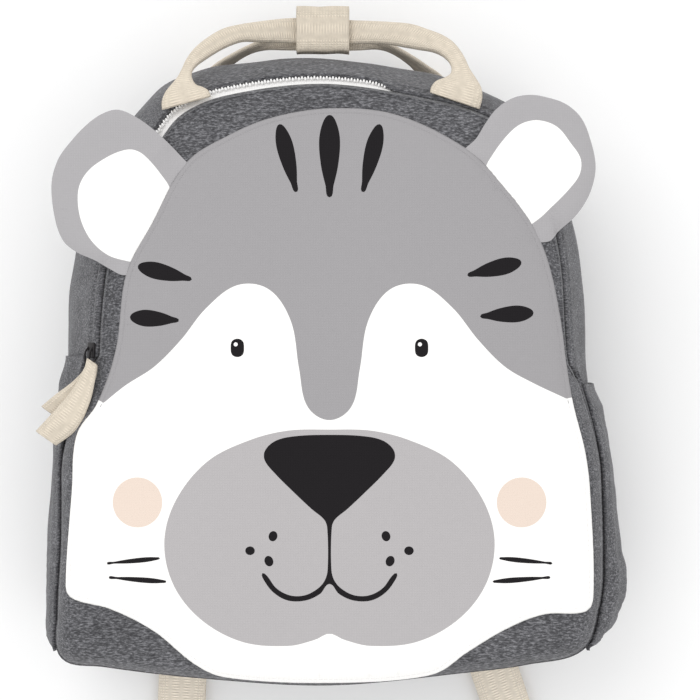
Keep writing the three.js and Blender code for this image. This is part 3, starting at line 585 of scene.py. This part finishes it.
cut_grid(face_cloth, (face_x, face_y), 27, (4.7, 5.2))
ear_roots = [(Vector((-70, 92, 0)), Vector((-91, 58, 0))), (Vector((71, 100, 0)), Vector((93, 72, 0)))]
edge_tree = edge_finder(face_edge, 1500)


def face_lift(x, y):
    """How high the canvas stands over the front: turned at its edge, drawn down by stitches, up over the ears."""
    spot = Vector((x, y, 0))
    inside = edge_tree.find(spot)[2]
    lift = 0.35 + 1.25 * math.sqrt(smooth(0, 1.6, inside)) - 0.45 * math.exp(-((inside - 2.4) / 0.7) ** 2)
    for start, end in ear_roots:
        near, share = geometry.intersect_point_line(spot, start, end)
        near = start.lerp(end, min(max(share, 0), 1))
        lift += 1.3 * math.exp(-((spot - near).length / 7) ** 2)
    return lift


for corner in face_cloth.verts:
    corner.co.z = front_height(corner.co.x, corner.co.y) + face_lift(corner.co.x, corner.co.y)

def close_cloth(cotton, woven, colour, heights, shades, relief, roughness, gloss):
    """Ends a woven cloth: its colour is painted darker in the low places of its weave and lighter on the high ones, as
    shade and light on the threads, and its weave gives it relief.
    """
    # Painted shade and light: the height of the weave darkens and lightens the colour.
    shade = add(cotton, "ShaderNodeMapRange", {
        "Value": woven.outputs[0], "From Min": heights[0], "From Max": heights[1],
        "To Min": shades[0], "To Max": shades[1],
    })
    dye_and_painted_shade = add(cotton, "ShaderNodeMix", {
        "Factor": 1.0, "A": paint(colour), "B": shade.outputs[0],
    }, data_type="RGBA", blend_type="MULTIPLY")
    bump = add(cotton, "ShaderNodeBump", {"Height": woven.outputs[0], "Strength": relief[0], "Distance": relief[1]})
    return close_material(cotton, add(cotton, "ShaderNodeBsdfPrincipled", {
        "Base Color": dye_and_painted_shade.outputs[2], "Roughness": roughness, "Specular IOR Level": gloss,
        "Normal": bump.outputs[0],
    }))


# Printed cotton canvas, a plain weave of about 16 threads to the centimetre: matt, with a
# faint grid of threads, in painted shade between the threads and in relief, drawn here at twice their real pitch so
# that it shows at all.
def canvas(name, colour, thread_shade=0.93):
    cotton, place = blank_material(name)
    across = add(cotton, "ShaderNodeTexWave", {
        "Vector": place.outputs["Object"], "Scale": 260, "Distortion": 1.5, "Detail": 2,
    }, bands_direction="X")
    along = add(cotton, "ShaderNodeTexWave", {
        "Vector": place.outputs["Object"], "Scale": 260, "Distortion": 1.5, "Detail": 2,
    }, bands_direction="Y")
    crossed = add(cotton, "ShaderNodeMath", {0: across.outputs["Fac"], 1: along.outputs["Fac"]}, operation="MULTIPLY")
    slub = add(cotton, "ShaderNodeTexNoise", {
        "Vector": place.outputs["Object"], "Scale": 300, "Detail": 4, "Roughness": 0.7,
    })
    woven = add(cotton, "ShaderNodeMath", {0: crossed.outputs[0], 1: slub.outputs["Fac"]}, operation="ADD")
    return close_cloth(cotton, woven, colour, (0.3, 1.4), (thread_shade, 1.0), (0.35, 0.0002), 0.9, 0.25)


white_canvas = canvas("printed_canvas_white", "#fbfaf8", 0.97)
grey_canvas = canvas("printed_canvas_grey", "#a19fa1")
light_canvas = canvas("printed_canvas_light_grey", "#b6b3b4")
black_canvas = canvas("printed_canvas_black", "#1b181b", 0.8)
blush_canvas = canvas("printed_canvas_blush", "#e6d5c8", 0.97)
face = make_piece("face", face_cloth, [white_canvas, grey_canvas, light_canvas, black_canvas, blush_canvas], wall=1.2)
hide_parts("face_panel")

# Lockstitch just inside the edge of the face, in thread that matches the print: white
# below the cheeks and grey above them, so that it hardly shows.
def sew(name, line, rise, finish, pitch=2.5, length=2.1, thick=0.42):
    """Lays a row of stitches along a line, each on the cloth at its height."""
    row = bmesh.new()
    count = round(sum((after - before).length for before, after in zip(line, line[1:])) / pitch)
    spots = line_through(line, count + 1)
    for before, after in zip(spots, spots[1:]):
        middle_of = (before + after) / 2
        way = (after - before).normalized()
        lean = way.cross(Vector((0, 0, 1))).normalized()
        turn = Matrix((way, lean, way.cross(lean))).transposed().to_4x4()
        bmesh.ops.create_uvsphere(
            row, u_segments=6, v_segments=4, radius=0.5,
            matrix=Matrix.Translation(middle_of + Vector((0, 0, rise))) @ turn
            @ Matrix.Diagonal((length, thick, thick, 1)),
        )
    return make_piece(name, row, [finish])


stitch_loop = []
for at in range(edge_count + 1):
    before, spot, after = face_edge[at - 2], face_edge[at % edge_count], face_edge[(at + 2) % edge_count]
    inward = Vector((0, 0, 1)).cross(after - before).normalized()
    if inward.dot(Vector((face_x, face_y, 0)) - spot) < 0:
        inward.negate()
    spot = spot + inward * stitch_inset
    stitch_loop.append(Vector((spot.x, spot.y, front_height(spot.x, spot.y) + face_lift(spot.x, spot.y))))
lower_from = next(at for at in range(edge_count) if stitch_loop[at].y < left_y)
lower_to = max(at for at in range(edge_count) if stitch_loop[at].y < right_y)
for name, line, colour in (
    ("white", stitch_loop[lower_from:lower_to + 1], "#f1efed"),
    ("grey", stitch_loop[lower_to:] + stitch_loop[1:lower_from + 1], "#aaa8aa"),
):
    stitches = sew("face_stitches_" + name, line, 0.02, canvas("cotton_thread_" + name, colour, 0.9))

# EARS
# Two flat ears, each of two layers of printed canvas sewn together and turned out.
# Their roots are caught in the seam between the face and the front.
ear_shapes = {
    "left": (-99.5, 89.05, 33, 40, [
        (1.16, 0.25), (1.01, 0.35), (0.74, 0.58), (0.5, 0.76), (0.26, 0.9), (0, 0.99), (-0.22, 0.95), (-0.46, 0.82),
        (-0.72, 0.6), (-0.9, 0.39), (-0.99, 0.1), (-0.94, -0.31), (-0.82, -0.58), (-0.62, -0.72), (-0.35, -0.82),
        (-0.12, -0.93), (0.07, -1), (0.29, -0.95), (0.81, -0.39),
    ], [
        (-74.2, 89.0), (-79.0, 97.6), (-86.6, 106.3), (-91.9, 109.2), (-97.3, 108.9), (-104.9, 105.8), (-113.5, 99.8),
        (-118.3, 92.4), (-119.1, 83.7), (-117.1, 74.1), (-112.3, 65.4), (-104.9, 58.9), (-97.3, 56.3), (-90.9, 55.9),
        (-84, 64), (-77, 76),
    ]),
    "right": (99.16, 100.4, 31.35, 35.4, [
        (-1.14, 0.16), (-1, 0.28), (-0.85, 0.4), (-0.71, 0.6), (-0.54, 0.8), (-0.29, 0.95), (-0.02, 1), (0.24, 0.97),
        (0.54, 0.88), (0.78, 0.69), (0.92, 0.4), (1, 0.06), (0.96, -0.21), (0.84, -0.46), (0.67, -0.66),
        (0.43, -0.85),
        (0.28, -0.99), (0, -0.96), (-0.61, -0.28),
    ], [
        (76.9, 98.6), (80.8, 107.3), (89.3, 118.0), (95.7, 122.3), (103.2, 123.4), (111.8, 120.3), (118.3, 112.6),
        (123.1, 105.1), (122.6, 97.6), (117.2, 90.1), (108.7, 81.5), (102.2, 75.6), (96.2, 72.9), (89, 80), (81, 90),
    ]),
}
ear_steps = 130
for hand, (middle_x, middle_y, ear_half_width, ear_half_height, outline, inner) in ear_shapes.items():
    outer = line_through(
        [(middle_x + side * ear_half_width, middle_y + up * ear_half_height, 0) for side, up in outline],
        ear_steps, True,
    )
    ear_cloth = bmesh.new()
    ear_corners = draw_rim(ear_cloth, outer, (0.4, 1.0, 1.9, 3.2))
    outer_edges = [ear_cloth.edges.get((ear_corners[at - 1], ear_corners[at])) for at in range(ear_steps)]
    inner_edges = draw_loop(ear_cloth, line_through([(x, y, 0) for x, y in inner], 90, True))
    finish_names = ["grey", "white"]
    fill(ear_cloth, outer_edges + inner_edges, "grey")
    fill(ear_cloth, inner_edges, "white")
    cut_grid(ear_cloth, (middle_x, middle_y), 11, (4.1, 4.1))
    ear_tree = edge_finder(outer, 600)
    sign = -1 if hand == "left" else 1
    lower_layer = bmesh.ops.duplicate(
        ear_cloth, geom=ear_cloth.verts[:] + ear_cloth.edges[:] + ear_cloth.faces[:],
    )["geom"]
    bmesh.ops.reverse_faces(ear_cloth, faces=[item for item in lower_layer if isinstance(item, bmesh.types.BMFace)])
    below = {item for item in lower_layer if isinstance(item, bmesh.types.BMVert)}
    for corner in ear_cloth.verts:
        spot = Vector((corner.co.x, corner.co.y, 0))
        near, at, gap = edge_tree.find(spot)
        beyond = gap if (spot - near).dot(near - Vector((face_x, face_y, 0))) > 0 else -gap
        root = front_height(spot.x, spot.y) + 0.75
        open_out = smooth(-1, 16, beyond)
        out = max(abs(spot.x - face_x) - 0.62 * face_half_width, 0)
        wave = noise.noise(Vector((spot.x / 20, spot.y / 20, 3 + sign))) * 0.6
        half = mix(0.35, 1.6, open_out) * math.sqrt(smooth(0, 5, ear_tree.find(spot)[2]))
        corner.co.z = mix(root, 109.2 - 0.1 * out + wave, open_out) + (-half if corner in below else half)
    bmesh.ops.remove_doubles(ear_cloth, verts=ear_cloth.verts, dist=1e-4)
    bmesh.ops.recalc_face_normals(ear_cloth, faces=ear_cloth.faces)
    ear_grey = canvas("printed_canvas_ear_grey_" + hand, "#acaaac")
    ear = make_piece("ear_of_" + hand, ear_cloth, [ear_grey, white_canvas])
    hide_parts("ear_" + hand)

# ZIP
# A white nylon zip. Its woven tape is sewn under both edges of the opening, and its
# teeth are sewn on the tape. It is closed, with the slider at its left end.
first_zipped = next(at for at in range(columns) if zip_slot(at)[4] > 0.98)
last_zipped = max(at for at in range(columns) if zip_slot(at)[4] > 0.98)
white_tape = canvas("white_polyester_zip_tape", "#f3f2f1", 0.9)
teeth_share = 0.4


def tape_spot(across_share, along_share):
    column = mix(first_zipped - 6, last_zipped + 6, along_share)
    rear, across, up, width, parted = zip_slot(round(column))
    return rear + across * mix(-0.6, width + 1.2, across_share) - up * mix(2.2, 0.9, zip_shown(round(column)))


tape_cloth = cloth_grid(6, last_zipped - first_zipped + 12, tape_spot)
face_out(tape_cloth, lambda spot: Vector((spot.x, spot.y, 60)))
tape = make_piece("zip_tape_woven", tape_cloth, [white_tape], wall=0.6)
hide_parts("zip_tape")

# Moulded nylon, white: a soft gloss on each tooth.
def moulded(name, colour, grain_scale, relief, roughness, ior):
    plastic, place = blank_material(name)
    grain = add(plastic, "ShaderNodeTexNoise", {"Vector": place.outputs["Object"], "Scale": grain_scale, "Detail": 2})
    bump = add(plastic, "ShaderNodeBump", {"Height": grain.outputs["Fac"], "Strength": relief, "Distance": 0.0001})
    return close_material(plastic, add(plastic, "ShaderNodeBsdfPrincipled", {
        "Base Color": paint(colour), "Roughness": roughness, "IOR": ior, "Normal": bump.outputs[0],
    }))


white_nylon = moulded("moulded_white_nylon", "#f4f3f2", 400, 0.1, 0.4, 1.53)
teeth_mesh = bmesh.new()
teeth_line = []
for column in range(first_zipped, last_zipped + 1):
    rear, across, up, width, parted = zip_slot(column)
    teeth_line.append(rear + across * width * teeth_share + up * mix(-2.2, 0.3, zip_shown(column)))
teeth_count = round(sum((after - before).length for before, after in zip(teeth_line, teeth_line[1:])) / 1.5)
teeth_spots = line_through(teeth_line, teeth_count)
for at in range(1, teeth_count - 1):
    way = (teeth_spots[at + 1] - teeth_spots[at - 1]).normalized()
    near = zip_slot(round(mix(first_zipped, last_zipped, at / (teeth_count - 1))))
    lean = near[1]
    turn = Matrix((way, lean, way.cross(lean).normalized())).transposed().to_4x4()
    bmesh.ops.create_uvsphere(
        teeth_mesh, u_segments=6, v_segments=4, radius=0.5,
        matrix=Matrix.Translation(teeth_spots[at] + lean * (0.35 if at % 2 else -0.35)) @ turn
        @ Matrix.Diagonal((1.15, 3.0, 1.3, 1)),
    )
teeth = make_piece("zip_teeth", teeth_mesh, [white_nylon])
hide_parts("zip_coil")

# ZIP SLIDER AND PULLER
# A small die-cast slider, lacquered satin black, with a wire bail over it. A cotton
# tape is threaded through the bail and sewn into a loop, and it has fallen over.
black_metal, metal_place = blank_material("black_lacquered_die_cast_metal")
metal_grain = add(black_metal, "ShaderNodeTexNoise", {
    "Vector": metal_place.outputs["Object"], "Scale": 600, "Detail": 3,
})
metal_rough = add(black_metal, "ShaderNodeMapRange", {
    "Value": metal_grain.outputs["Fac"], "To Min": 0.32, "To Max": 0.55,
})
close_material(black_metal, add(black_metal, "ShaderNodeBsdfPrincipled", {
    "Base Color": paint("#1c191b"), "Metallic": 0.4, "Roughness": metal_rough.outputs[0],
}))
slider_low, slider_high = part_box("zip_slider")
slider_middle = to_frame.inverted() @ ((slider_low + slider_high) / 2)
slider_column = min(range(first_zipped, first_zipped + 40), key=lambda at: abs(zip_slot(at)[0].y - slider_middle.y))
rear, across, up, width, parted = zip_slot(slider_column)
run = (zip_slot(slider_column + 2)[0] - zip_slot(slider_column - 2)[0]).normalized()
slider_turn = Matrix((across, run, across.cross(run).normalized())).transposed().to_4x4()
slider_at = Matrix.Translation(rear + across * width * 0.55 + up * 1.0) @ slider_turn
slider_mesh = bmesh.new()
bmesh.ops.create_cube(
    slider_mesh, size=1, matrix=slider_at @ Matrix.Translation((0, 0, 1)) @ Matrix.Diagonal((6.0, 7.6, 1.4, 1)),
)
bmesh.ops.bevel(
    slider_mesh, geom=slider_mesh.edges[:] + slider_mesh.verts[:], offset=0.6, segments=3, profile=0.5,
    affect="EDGES", material=-1,
)
bail = line_through([
    (-1.8, 1.5, 1.4), (-2.1, -1, 2.9), (-1.9, -5, 3), (0, -8, 2.2), (1.9, -5, 3), (2.1, -1, 2.9), (1.8, 1.5, 1.4),
], 25)
for before, after in zip(bail, bail[1:]):
    way = (after - before).normalized()
    turn = way.to_track_quat("Z", "X").to_matrix().to_4x4()
    bmesh.ops.create_cone(
        slider_mesh, cap_ends=True, segments=10, radius1=0.5, radius2=0.5, depth=(after - before).length * 1.15,
        matrix=slider_at @ Matrix.Translation((before + after) / 2) @ turn,
    )
slider = make_piece("zip_slider_cast", slider_mesh, [black_metal])
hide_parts("zip_slider")

# Undyed cotton webbing, woven with thick ribs about 1 mm wide across it: cream and matt,
# with a painted shadow line between the knots and a faint painted highlight on them. The ribs are drawn half as wide
# again, to show.
def webbing_cloth(name, colour):
    cotton, place = blank_material(name)
    ribs = add(cotton, "ShaderNodeTexWave", {
        "Vector": place.outputs["UV"], "Scale": 0.22, "Distortion": 0.8, "Detail": 1,
    }, bands_direction="Y")
    cords = add(cotton, "ShaderNodeTexWave", {
        "Vector": place.outputs["UV"], "Scale": 0.2, "Distortion": 1.0, "Detail": 1,
    }, bands_direction="X")
    crossed = add(cotton, "ShaderNodeMath", {0: ribs.outputs["Fac"], 1: cords.outputs["Fac"]}, operation="MULTIPLY")
    lint = add(cotton, "ShaderNodeTexNoise", {"Vector": place.outputs["Object"], "Scale": 350, "Detail": 4})
    woven = add(cotton, "ShaderNodeMath", {0: crossed.outputs[0], 1: lint.outputs["Fac"]}, operation="ADD")
    return close_cloth(cotton, woven, colour, (0.3, 1.3), (0.8, 1.08), (0.6, 0.0006), 0.92, 0.2)


cream_webbing = webbing_cloth("undyed_cotton_webbing", "#e0d5c4")


def ribbon(rows, thick, along=90, across=8, cut_width=12.0, thicker=lambda share: 0.0):
    """A flat tape through rows of its two edges, with its real thickness and rounded edges."""
    left = line_through([row[0] for row in rows], along + 1)
    right = line_through([row[1] for row in rows], along + 1)
    length = sum((after - before).length for before, after in zip(left, left[1:]))

    def tape_at(across_share, along_share):
        at = round(along_share * along)
        turn = across_share * math.tau
        side, height = math.cos(turn), math.sin(turn)
        side = math.copysign(abs(side) ** 0.35, side)
        way = left[min(at + 1, along)] - left[max(at - 1, 0)]
        flat = right[at] - left[at]
        up_way = flat.cross(way).normalized()
        return (left[at] + right[at]) / 2 + flat * 0.5 * side + up_way * height * (thick + thicker(along_share)) / 2

    tape_mesh = cloth_grid(across * 3, along, tape_at, cut=(cut_width * 2, length))
    bmesh.ops.remove_doubles(tape_mesh, verts=tape_mesh.verts, dist=1e-4)
    bmesh.ops.holes_fill(tape_mesh, edges=[edge for edge in tape_mesh.edges if edge.is_boundary], sides=0)
    bmesh.ops.recalc_face_normals(tape_mesh, faces=tape_mesh.faces)
    return tape_mesh


pull_rows = [
    (-0.9, -0.112, 0.84, 1.05), (-0.846, -0.076, 0.882, 1.1), (-0.798, -0.03, 0.9, 0.8),
    (-0.768, 0.016, 0.895, 0.55), (-0.763, 0.044, 0.903, 0.5), (-0.768, 0.016, 0.917, 0.55),
    (-0.797, -0.055, 0.92, 0.85), (-0.852, -0.13, 0.895, 1.15), (-0.92, -0.185, 0.84, 1),
]
pull_aim = Vector((-0.763 + 0.927, 0.044 + 0.19, 0)) * 150
pull_lean = Vector((-pull_aim.y, pull_aim.x, 0)).normalized() * 12.4 / 2
pull_edges = []
for side, up, rise, wide in pull_rows:
    spot = Vector((side * half_width, up * half_height, back_rise + rise * depth))
    pull_edges.append((spot - pull_lean * wide, spot + pull_lean * wide))
pull = make_piece("zip_puller", ribbon(pull_edges, 1.2), [cream_webbing])
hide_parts("zip_pull")

# GRAB HANDLES
# Two handles of 25 mm cotton webbing, folded in half along their length and sewn into
# the seams on both sides of the zip. The feet open out flat where they are sewn in.
webbing_width, folded_thick = 25.0, 2.6
front_handle_edges = [
    ((-79.1, 129.3), (-55.4, 135.8), 100.5), ((-79.2, 133.4), (-56.6, 138.7), 100.6),
    ((-77.7, 137.8), (-59.3, 140.5), 100),
    ((-74.9, 141.7), (-62.5, 141.7), 98.5), ((-72.1, 145.6), (-64.7, 144.9), 96), ((-70.4, 149.7), (-65.1, 148.5), 93),
    ((-68.2, 155.7), (-63.3, 152.0), 89), ((-64.3, 161.9), (-59.4, 155.7), 84.5), ((-58.5, 167.5), (-54.5, 159.6), 80),
    ((-51.3, 172.4), (-48.6, 163.4), 76), ((-42.8, 175.1), (-41.3, 166.3), 73), ((-32.9, 177.1), (-32.4, 166.5), 70),
    ((-23.0, 178.8), (-22.8, 166.7), 67), ((-14.9, 179.5), (-14.9, 166.7), 65.5), ((-1.5, 179.2), (-1.5, 166.4), 65.4),
    ((12.0, 178.4), (12.0, 166.4), 65.5), ((22.0, 177.8), (21.5, 166.2), 67), ((33.2, 176.7), (31.5, 165.3), 70),
    ((43.1, 175.0), (39.4, 163.4), 74), ((51.6, 171.5), (46.7, 161.6), 78), ((57.7, 168.6), (52.0, 160.4), 81),
    ((62.5, 165.0), (56.3, 158.3), 84), ((66.0, 160.2), (59.8, 154.8), 88), ((68.4, 155.2), (61.5, 151.0), 92),
    ((70.4, 149.9), (60.9, 147.5), 95.5), ((73.4, 144.7), (58.1, 145.4), 98), ((75.7, 140.3), (53.7, 143.5), 99.4),
    ((76.2, 135.4), (51.3, 140.5), 99.9), ((74.8, 129.7), (50.8, 137.8), 99.9),
]
front_rows = [(Vector((*outer, z)), Vector((*inner, z))) for outer, inner, z in front_handle_edges]


def handle_roll(share):
    """How much thicker the folded webbing is where it stands on its edge, between the feet and the band."""
    away = min(share, 1 - share)
    return 3.0 * smooth(0.06, 0.18, away) * (1 - smooth(0.36, 0.44, away))


handle_mesh = ribbon(front_rows, folded_thick, along=160, cut_width=webbing_width / 2, thicker=handle_roll)
handle = make_piece("grab_handle_front", handle_mesh, [cream_webbing])
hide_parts("handle_front")

# Each row: how far out and up, how high, the share of half the full width, and the tilt in degrees.
rear_handle_rows = [
    (-0.43, 0.9, -0.018, 0.7, 0), (-0.42, 0.945, 0, 0.6, 20), (-0.39, 0.985, 0.09, 0.5, 60),
    (-0.325, 1.018, 0.22, 0.45, 76), (-0.24, 1.042, 0.36, 0.45, 76), (-0.13, 1.054, 0.49, 0.5, 20),
    (0, 1.054, 0.493, 0.52, 0), (0.11, 1.054, 0.49, 0.5, 20), (0.2, 1.044, 0.37, 0.45, 76),
    (0.28, 1.018, 0.23, 0.45, 76), (0.34, 0.985, 0.1, 0.5, 60), (0.38, 0.945, 0, 0.6, 20),
    (0.4, 0.87, -0.018, 0.7, 0),
]
rear_spots = [
    Vector((side * half_width, up * half_height, back_rise + rise * depth))
    for side, up, rise, wide, tilt in rear_handle_rows
]
rear_rows = []
for at, (side, up, rise, wide, tilt) in enumerate(rear_handle_rows):
    way = rear_spots[min(at + 1, 12)] - rear_spots[max(at - 1, 0)]
    level = Vector((-way.y, way.x, 0)).normalized()
    tilt = math.radians(tilt)
    lean = (level * math.cos(tilt) + Vector((0, 0, 1)) * math.sin(tilt)) * wide * webbing_width / 2
    rear_rows.append((rear_spots[at] + lean, rear_spots[at] - lean))
rear_mesh = ribbon(rear_rows, folded_thick, along=120, cut_width=webbing_width / 2)
rear_handle = make_piece("grab_handle_rear", rear_mesh, [cream_webbing])
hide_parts("handle_rear")

# HANDLE BAND
# A short piece of the same webbing wrapped round both handles and closed at the back.
band_x, band_y, band_z = -1.62, 173.61, back_rise + 0.524 * depth
band_low, band_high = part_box("handle_wrap")
band_deep = (band_high.z - band_low.z) * 1000


def boxy(value):
    """Pushes a circle's sine or cosine out towards a rounded rectangle."""
    return math.copysign(abs(value) ** 0.3, value)


def band_spot(around, along):
    turn = around * math.tau
    wobble = noise.noise(Vector((along * 3, math.cos(turn), math.sin(turn)))) * 0.5
    flare = 0.25 * (2 * along - 1) ** 4
    return Vector((
        band_x + (along - 0.5) * 26.3,
        band_y + boxy(math.cos(turn)) * (11.8 - 0.4 + flare) + wobble,
        band_z + boxy(math.sin(turn)) * (band_deep / 2 - 0.3 + flare) + wobble * 0.4,
    ))


band_mesh = cloth_grid(64, 20, band_spot, cut=(72, 26))
bmesh.ops.remove_doubles(band_mesh, verts=band_mesh.verts, dist=1e-4)
face_out(band_mesh, lambda spot: spot - Vector((spot.x, band_y, band_z)))
band = make_piece("handle_band", band_mesh, [cream_webbing], wall=1.4)
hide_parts("handle_wrap")

# SIDE POCKETS
# Open-topped pockets of the same marl cloth on both sides, with a hem at the top. They
# are sewn down at the back, the base and the front, and stand off slackly between.
# Each row: the share of the height, then how far it stands off on the left and on the right.
pocket_rows = [
    (0, 0, 0), (0.035, 0.55, 0.55), (0.1, 0.75, 1), (0.2, 0.85, 1.13), (0.29, 0.86, 1.06), (0.37, 0.82, 0.88),
    (0.55, 0.68, 0.64), (0.65, 0.62, 0.58), (0.79, 0.66, 0.48), (0.88, 0.34, 0.38), (1, 0, 0.04),
]
pocket_across = [(0.12, 0), (0.17, 0.5), (0.3, 0.92), (0.45, 1), (0.6, 0.94), (0.72, 0.55), (0.78, 0)]


def read_rows(rows, at, column):
    """A value between the rows of a table, at a share of its first column."""
    for low, high in zip(rows, rows[1:]):
        if at <= high[0]:
            return mix(low[column], high[column], smooth(0, 1, (at - low[0]) / (high[0] - low[0])))
    return rows[-1][column]


for hand, sign, bulge, column_of in (("left", -1, 8.0, 1), ("right", 1, 11.0, 2)):
    def pocket_spot(across_share, along_share):
        y = -pocket_base + along_share * pocket_heights[sign]
        over = mix(0.12, 0.78, across_share)
        up = max(y / half_height, -0.82)
        near = min((at for at in range(columns) if rim[at][0] * sign > 0.6), key=lambda at: abs(rim[at][1] - up))
        side = rim[near][0]
        share = smooth(box_top, round_foot, up)
        insets = [
            mix(row[1], row[0] * (1 + left_draw * max(-side, 0) - right_draw * max(side, 0)), share)
            for row in wall_rows
        ]
        heights = [mix(row[3], row[2], share) for row in wall_rows]
        inset = read_rows(list(zip(heights, insets)), over, 1) * depth
        out = mix(0.8, 0.3, smooth(0.88, 1, along_share))
        out += read_rows(pocket_rows, along_share, column_of) * read_rows(pocket_across, over, 1) * bulge
        slack = smooth(0, 0.2, across_share) * (1 - smooth(0.8, 1, across_share))
        out += noise.noise(Vector((y / 24, over * 4, 5 * sign))) * slack
        hem = 0.5 * smooth(0.895, 0.905, along_share)
        return Vector((sign * (abs(side) * (half_width - inset) + out + hem), y, back_rise + over * depth))

    pocket_mesh = cloth_grid(36, 80, pocket_spot)
    face_out(pocket_mesh, lambda spot: Vector((sign, 0, 0)))
    pocket = make_piece("side_pocket_" + hand, pocket_mesh, [marl], wall=-1.5)
    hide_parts("pocket_" + hand)

# SHOULDER STRAPS
# Two padded straps of marl cloth over foam, sewn into the back near its top.
strap_rows = [
    (0.24, 0.74, 0.9), (0.27, 0.5, 1), (0.34, 0.2, 1), (0.44, -0.12, 0.96), (0.5, -0.4, 0.84), (0.51, -0.57, 0.64),
]
for hand, sign in (("left", -1), ("right", 1)):
    edges = []
    spots = [Vector((sign * side * half_width, up * half_height, 3)) for side, up, wide in strap_rows]
    for at, (side, up, wide) in enumerate(strap_rows):
        way = spots[min(at + 1, 5)] - spots[max(at - 1, 0)]
        lean = Vector((-way.y, way.x, 0)).normalized() * wide * 21
        edges.append((spots[at] - lean, spots[at] + lean))
    strap = make_piece("padded_strap_" + hand, ribbon(edges, 5.8, along=90, across=10, cut_width=42), [marl])
    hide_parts("strap_" + hand)

# STRAP WEBBING
# 25 mm cotton webbing from the end of each strap, through its adjuster, out past the
# base and back to the base seam.
# The same cotton webbing as the handles, painted lighter to make up for the shade it lies in near the floor.
strap_webbing_painted_lighter = webbing_cloth("undyed_cotton_webbing_straps_painted_lighter", "#fbf0df")
webbing_rows = [
    (0, -0.574, 0.15), (0, -0.652, 0.15), (0, -0.674, 0.75), (0, -0.722, 0.75), (0, -0.744, 0.15), (0.1, -0.8, 0.15),
    (0.55, -0.95, 0.15), (0.95, -1.11, 0.15), (1, -1.14, 0.26), (1, -1.148, 0.49), (1, -1.14, 0.72),
    (0.95, -1.11, 0.83), (0.55, -0.95, 0.83), (0.3, -0.865, 0.83),
]
for hand, sign, end in (("left", -1, -0.527), ("right", 1, 0.66)):
    spots = [
        Vector((mix(sign * 0.51, end, over) * half_width, up * half_height, rise * 6))
        for over, up, rise in webbing_rows
    ]
    aim = spots[8] - spots[4]
    slant = Vector((-aim.y, aim.x, 0)).normalized() * webbing_width / 2
    edges = []
    for at, spot in enumerate(spots):
        lean = Vector((webbing_width / 2, 0, 0)) if at < 5 else slant
        edges.append((spot - lean, spot + lean))
    webbing_mesh = ribbon(edges, 1.3, along=140, cut_width=webbing_width)
    webbing = make_piece("strap_webbing_painted_lighter_" + hand, webbing_mesh, [strap_webbing_painted_lighter])
    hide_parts("webbing_" + hand)

# ADJUSTERS
# Plain moulded sliding buckles in dark plastic, with a fine satin grain.
dark_plastic = moulded("moulded_acetal_dark", "#2b2a2c", 900, 0.2, 0.5, 1.48)
for hand in ("left", "right"):
    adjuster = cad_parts["adjuster_" + hand]
    adjuster.data.materials.clear()
    adjuster.data.materials.append(dark_plastic)

# FLOOR, LIGHT AND CAMERA
# A plain pale floor under soft, even light, seen from straight above.
floor_mesh = bpy.data.meshes.new("floor")
floor_cloth = bmesh.new()
bmesh.ops.create_grid(floor_cloth, x_segments=1, y_segments=1, size=4)
floor_cloth.to_mesh(floor_mesh)
floor_cloth.free()
floor = bpy.data.objects.new("floor", floor_mesh)
bpy.context.collection.objects.link(floor)
floor_paper, floor_place = blank_material("white_paper_backdrop")
paper_grain = add(floor_paper, "ShaderNodeTexNoise", {"Vector": floor_place.outputs["Object"], "Scale": 40})
paper_shade = add(floor_paper, "ShaderNodeMapRange", {
    "Value": paper_grain.outputs["Fac"], "To Min": 0.96, "To Max": 0.97,
})
close_material(floor_paper, add(floor_paper, "ShaderNodeBsdfPrincipled", {
    "Base Color": paper_shade.outputs[0], "Roughness": 0.9,
}))
floor_mesh.materials.append(floor_paper)

world = bpy.data.worlds.new("soft_room")
world.use_nodes = True
world.node_tree.nodes["Background"].inputs[0].default_value = (1, 1, 1, 1)
world.node_tree.nodes["Background"].inputs[1].default_value = 1.0
bpy.context.scene.world = world
for name, spot, size, power in (("window", (-0.9, 1.1, 2.0), 1.6, 12), ("lamp", (1.2, -0.6, 2.2), 2.0, 4)):
    light = bpy.data.lights.new(name, "AREA")
    light.size, light.energy = size, power
    lamp = bpy.data.objects.new(name, light)
    lamp.location = spot
    lamp.rotation_euler = (Vector((0, 0, 0.05)) - Vector(spot)).to_track_quat("-Z", "Y").to_euler()
    bpy.context.collection.objects.link(lamp)

bpy.context.scene.view_settings.view_transform = "Standard"
camera_data = bpy.data.cameras.new("camera")
camera_data.lens, camera_data.sensor_width = 107.14, 36
camera = bpy.data.objects.new("camera", camera_data)
camera.location = to_frame @ Vector((12, 13, 1110))
bpy.context.collection.objects.link(camera)
bpy.context.scene.camera = camera
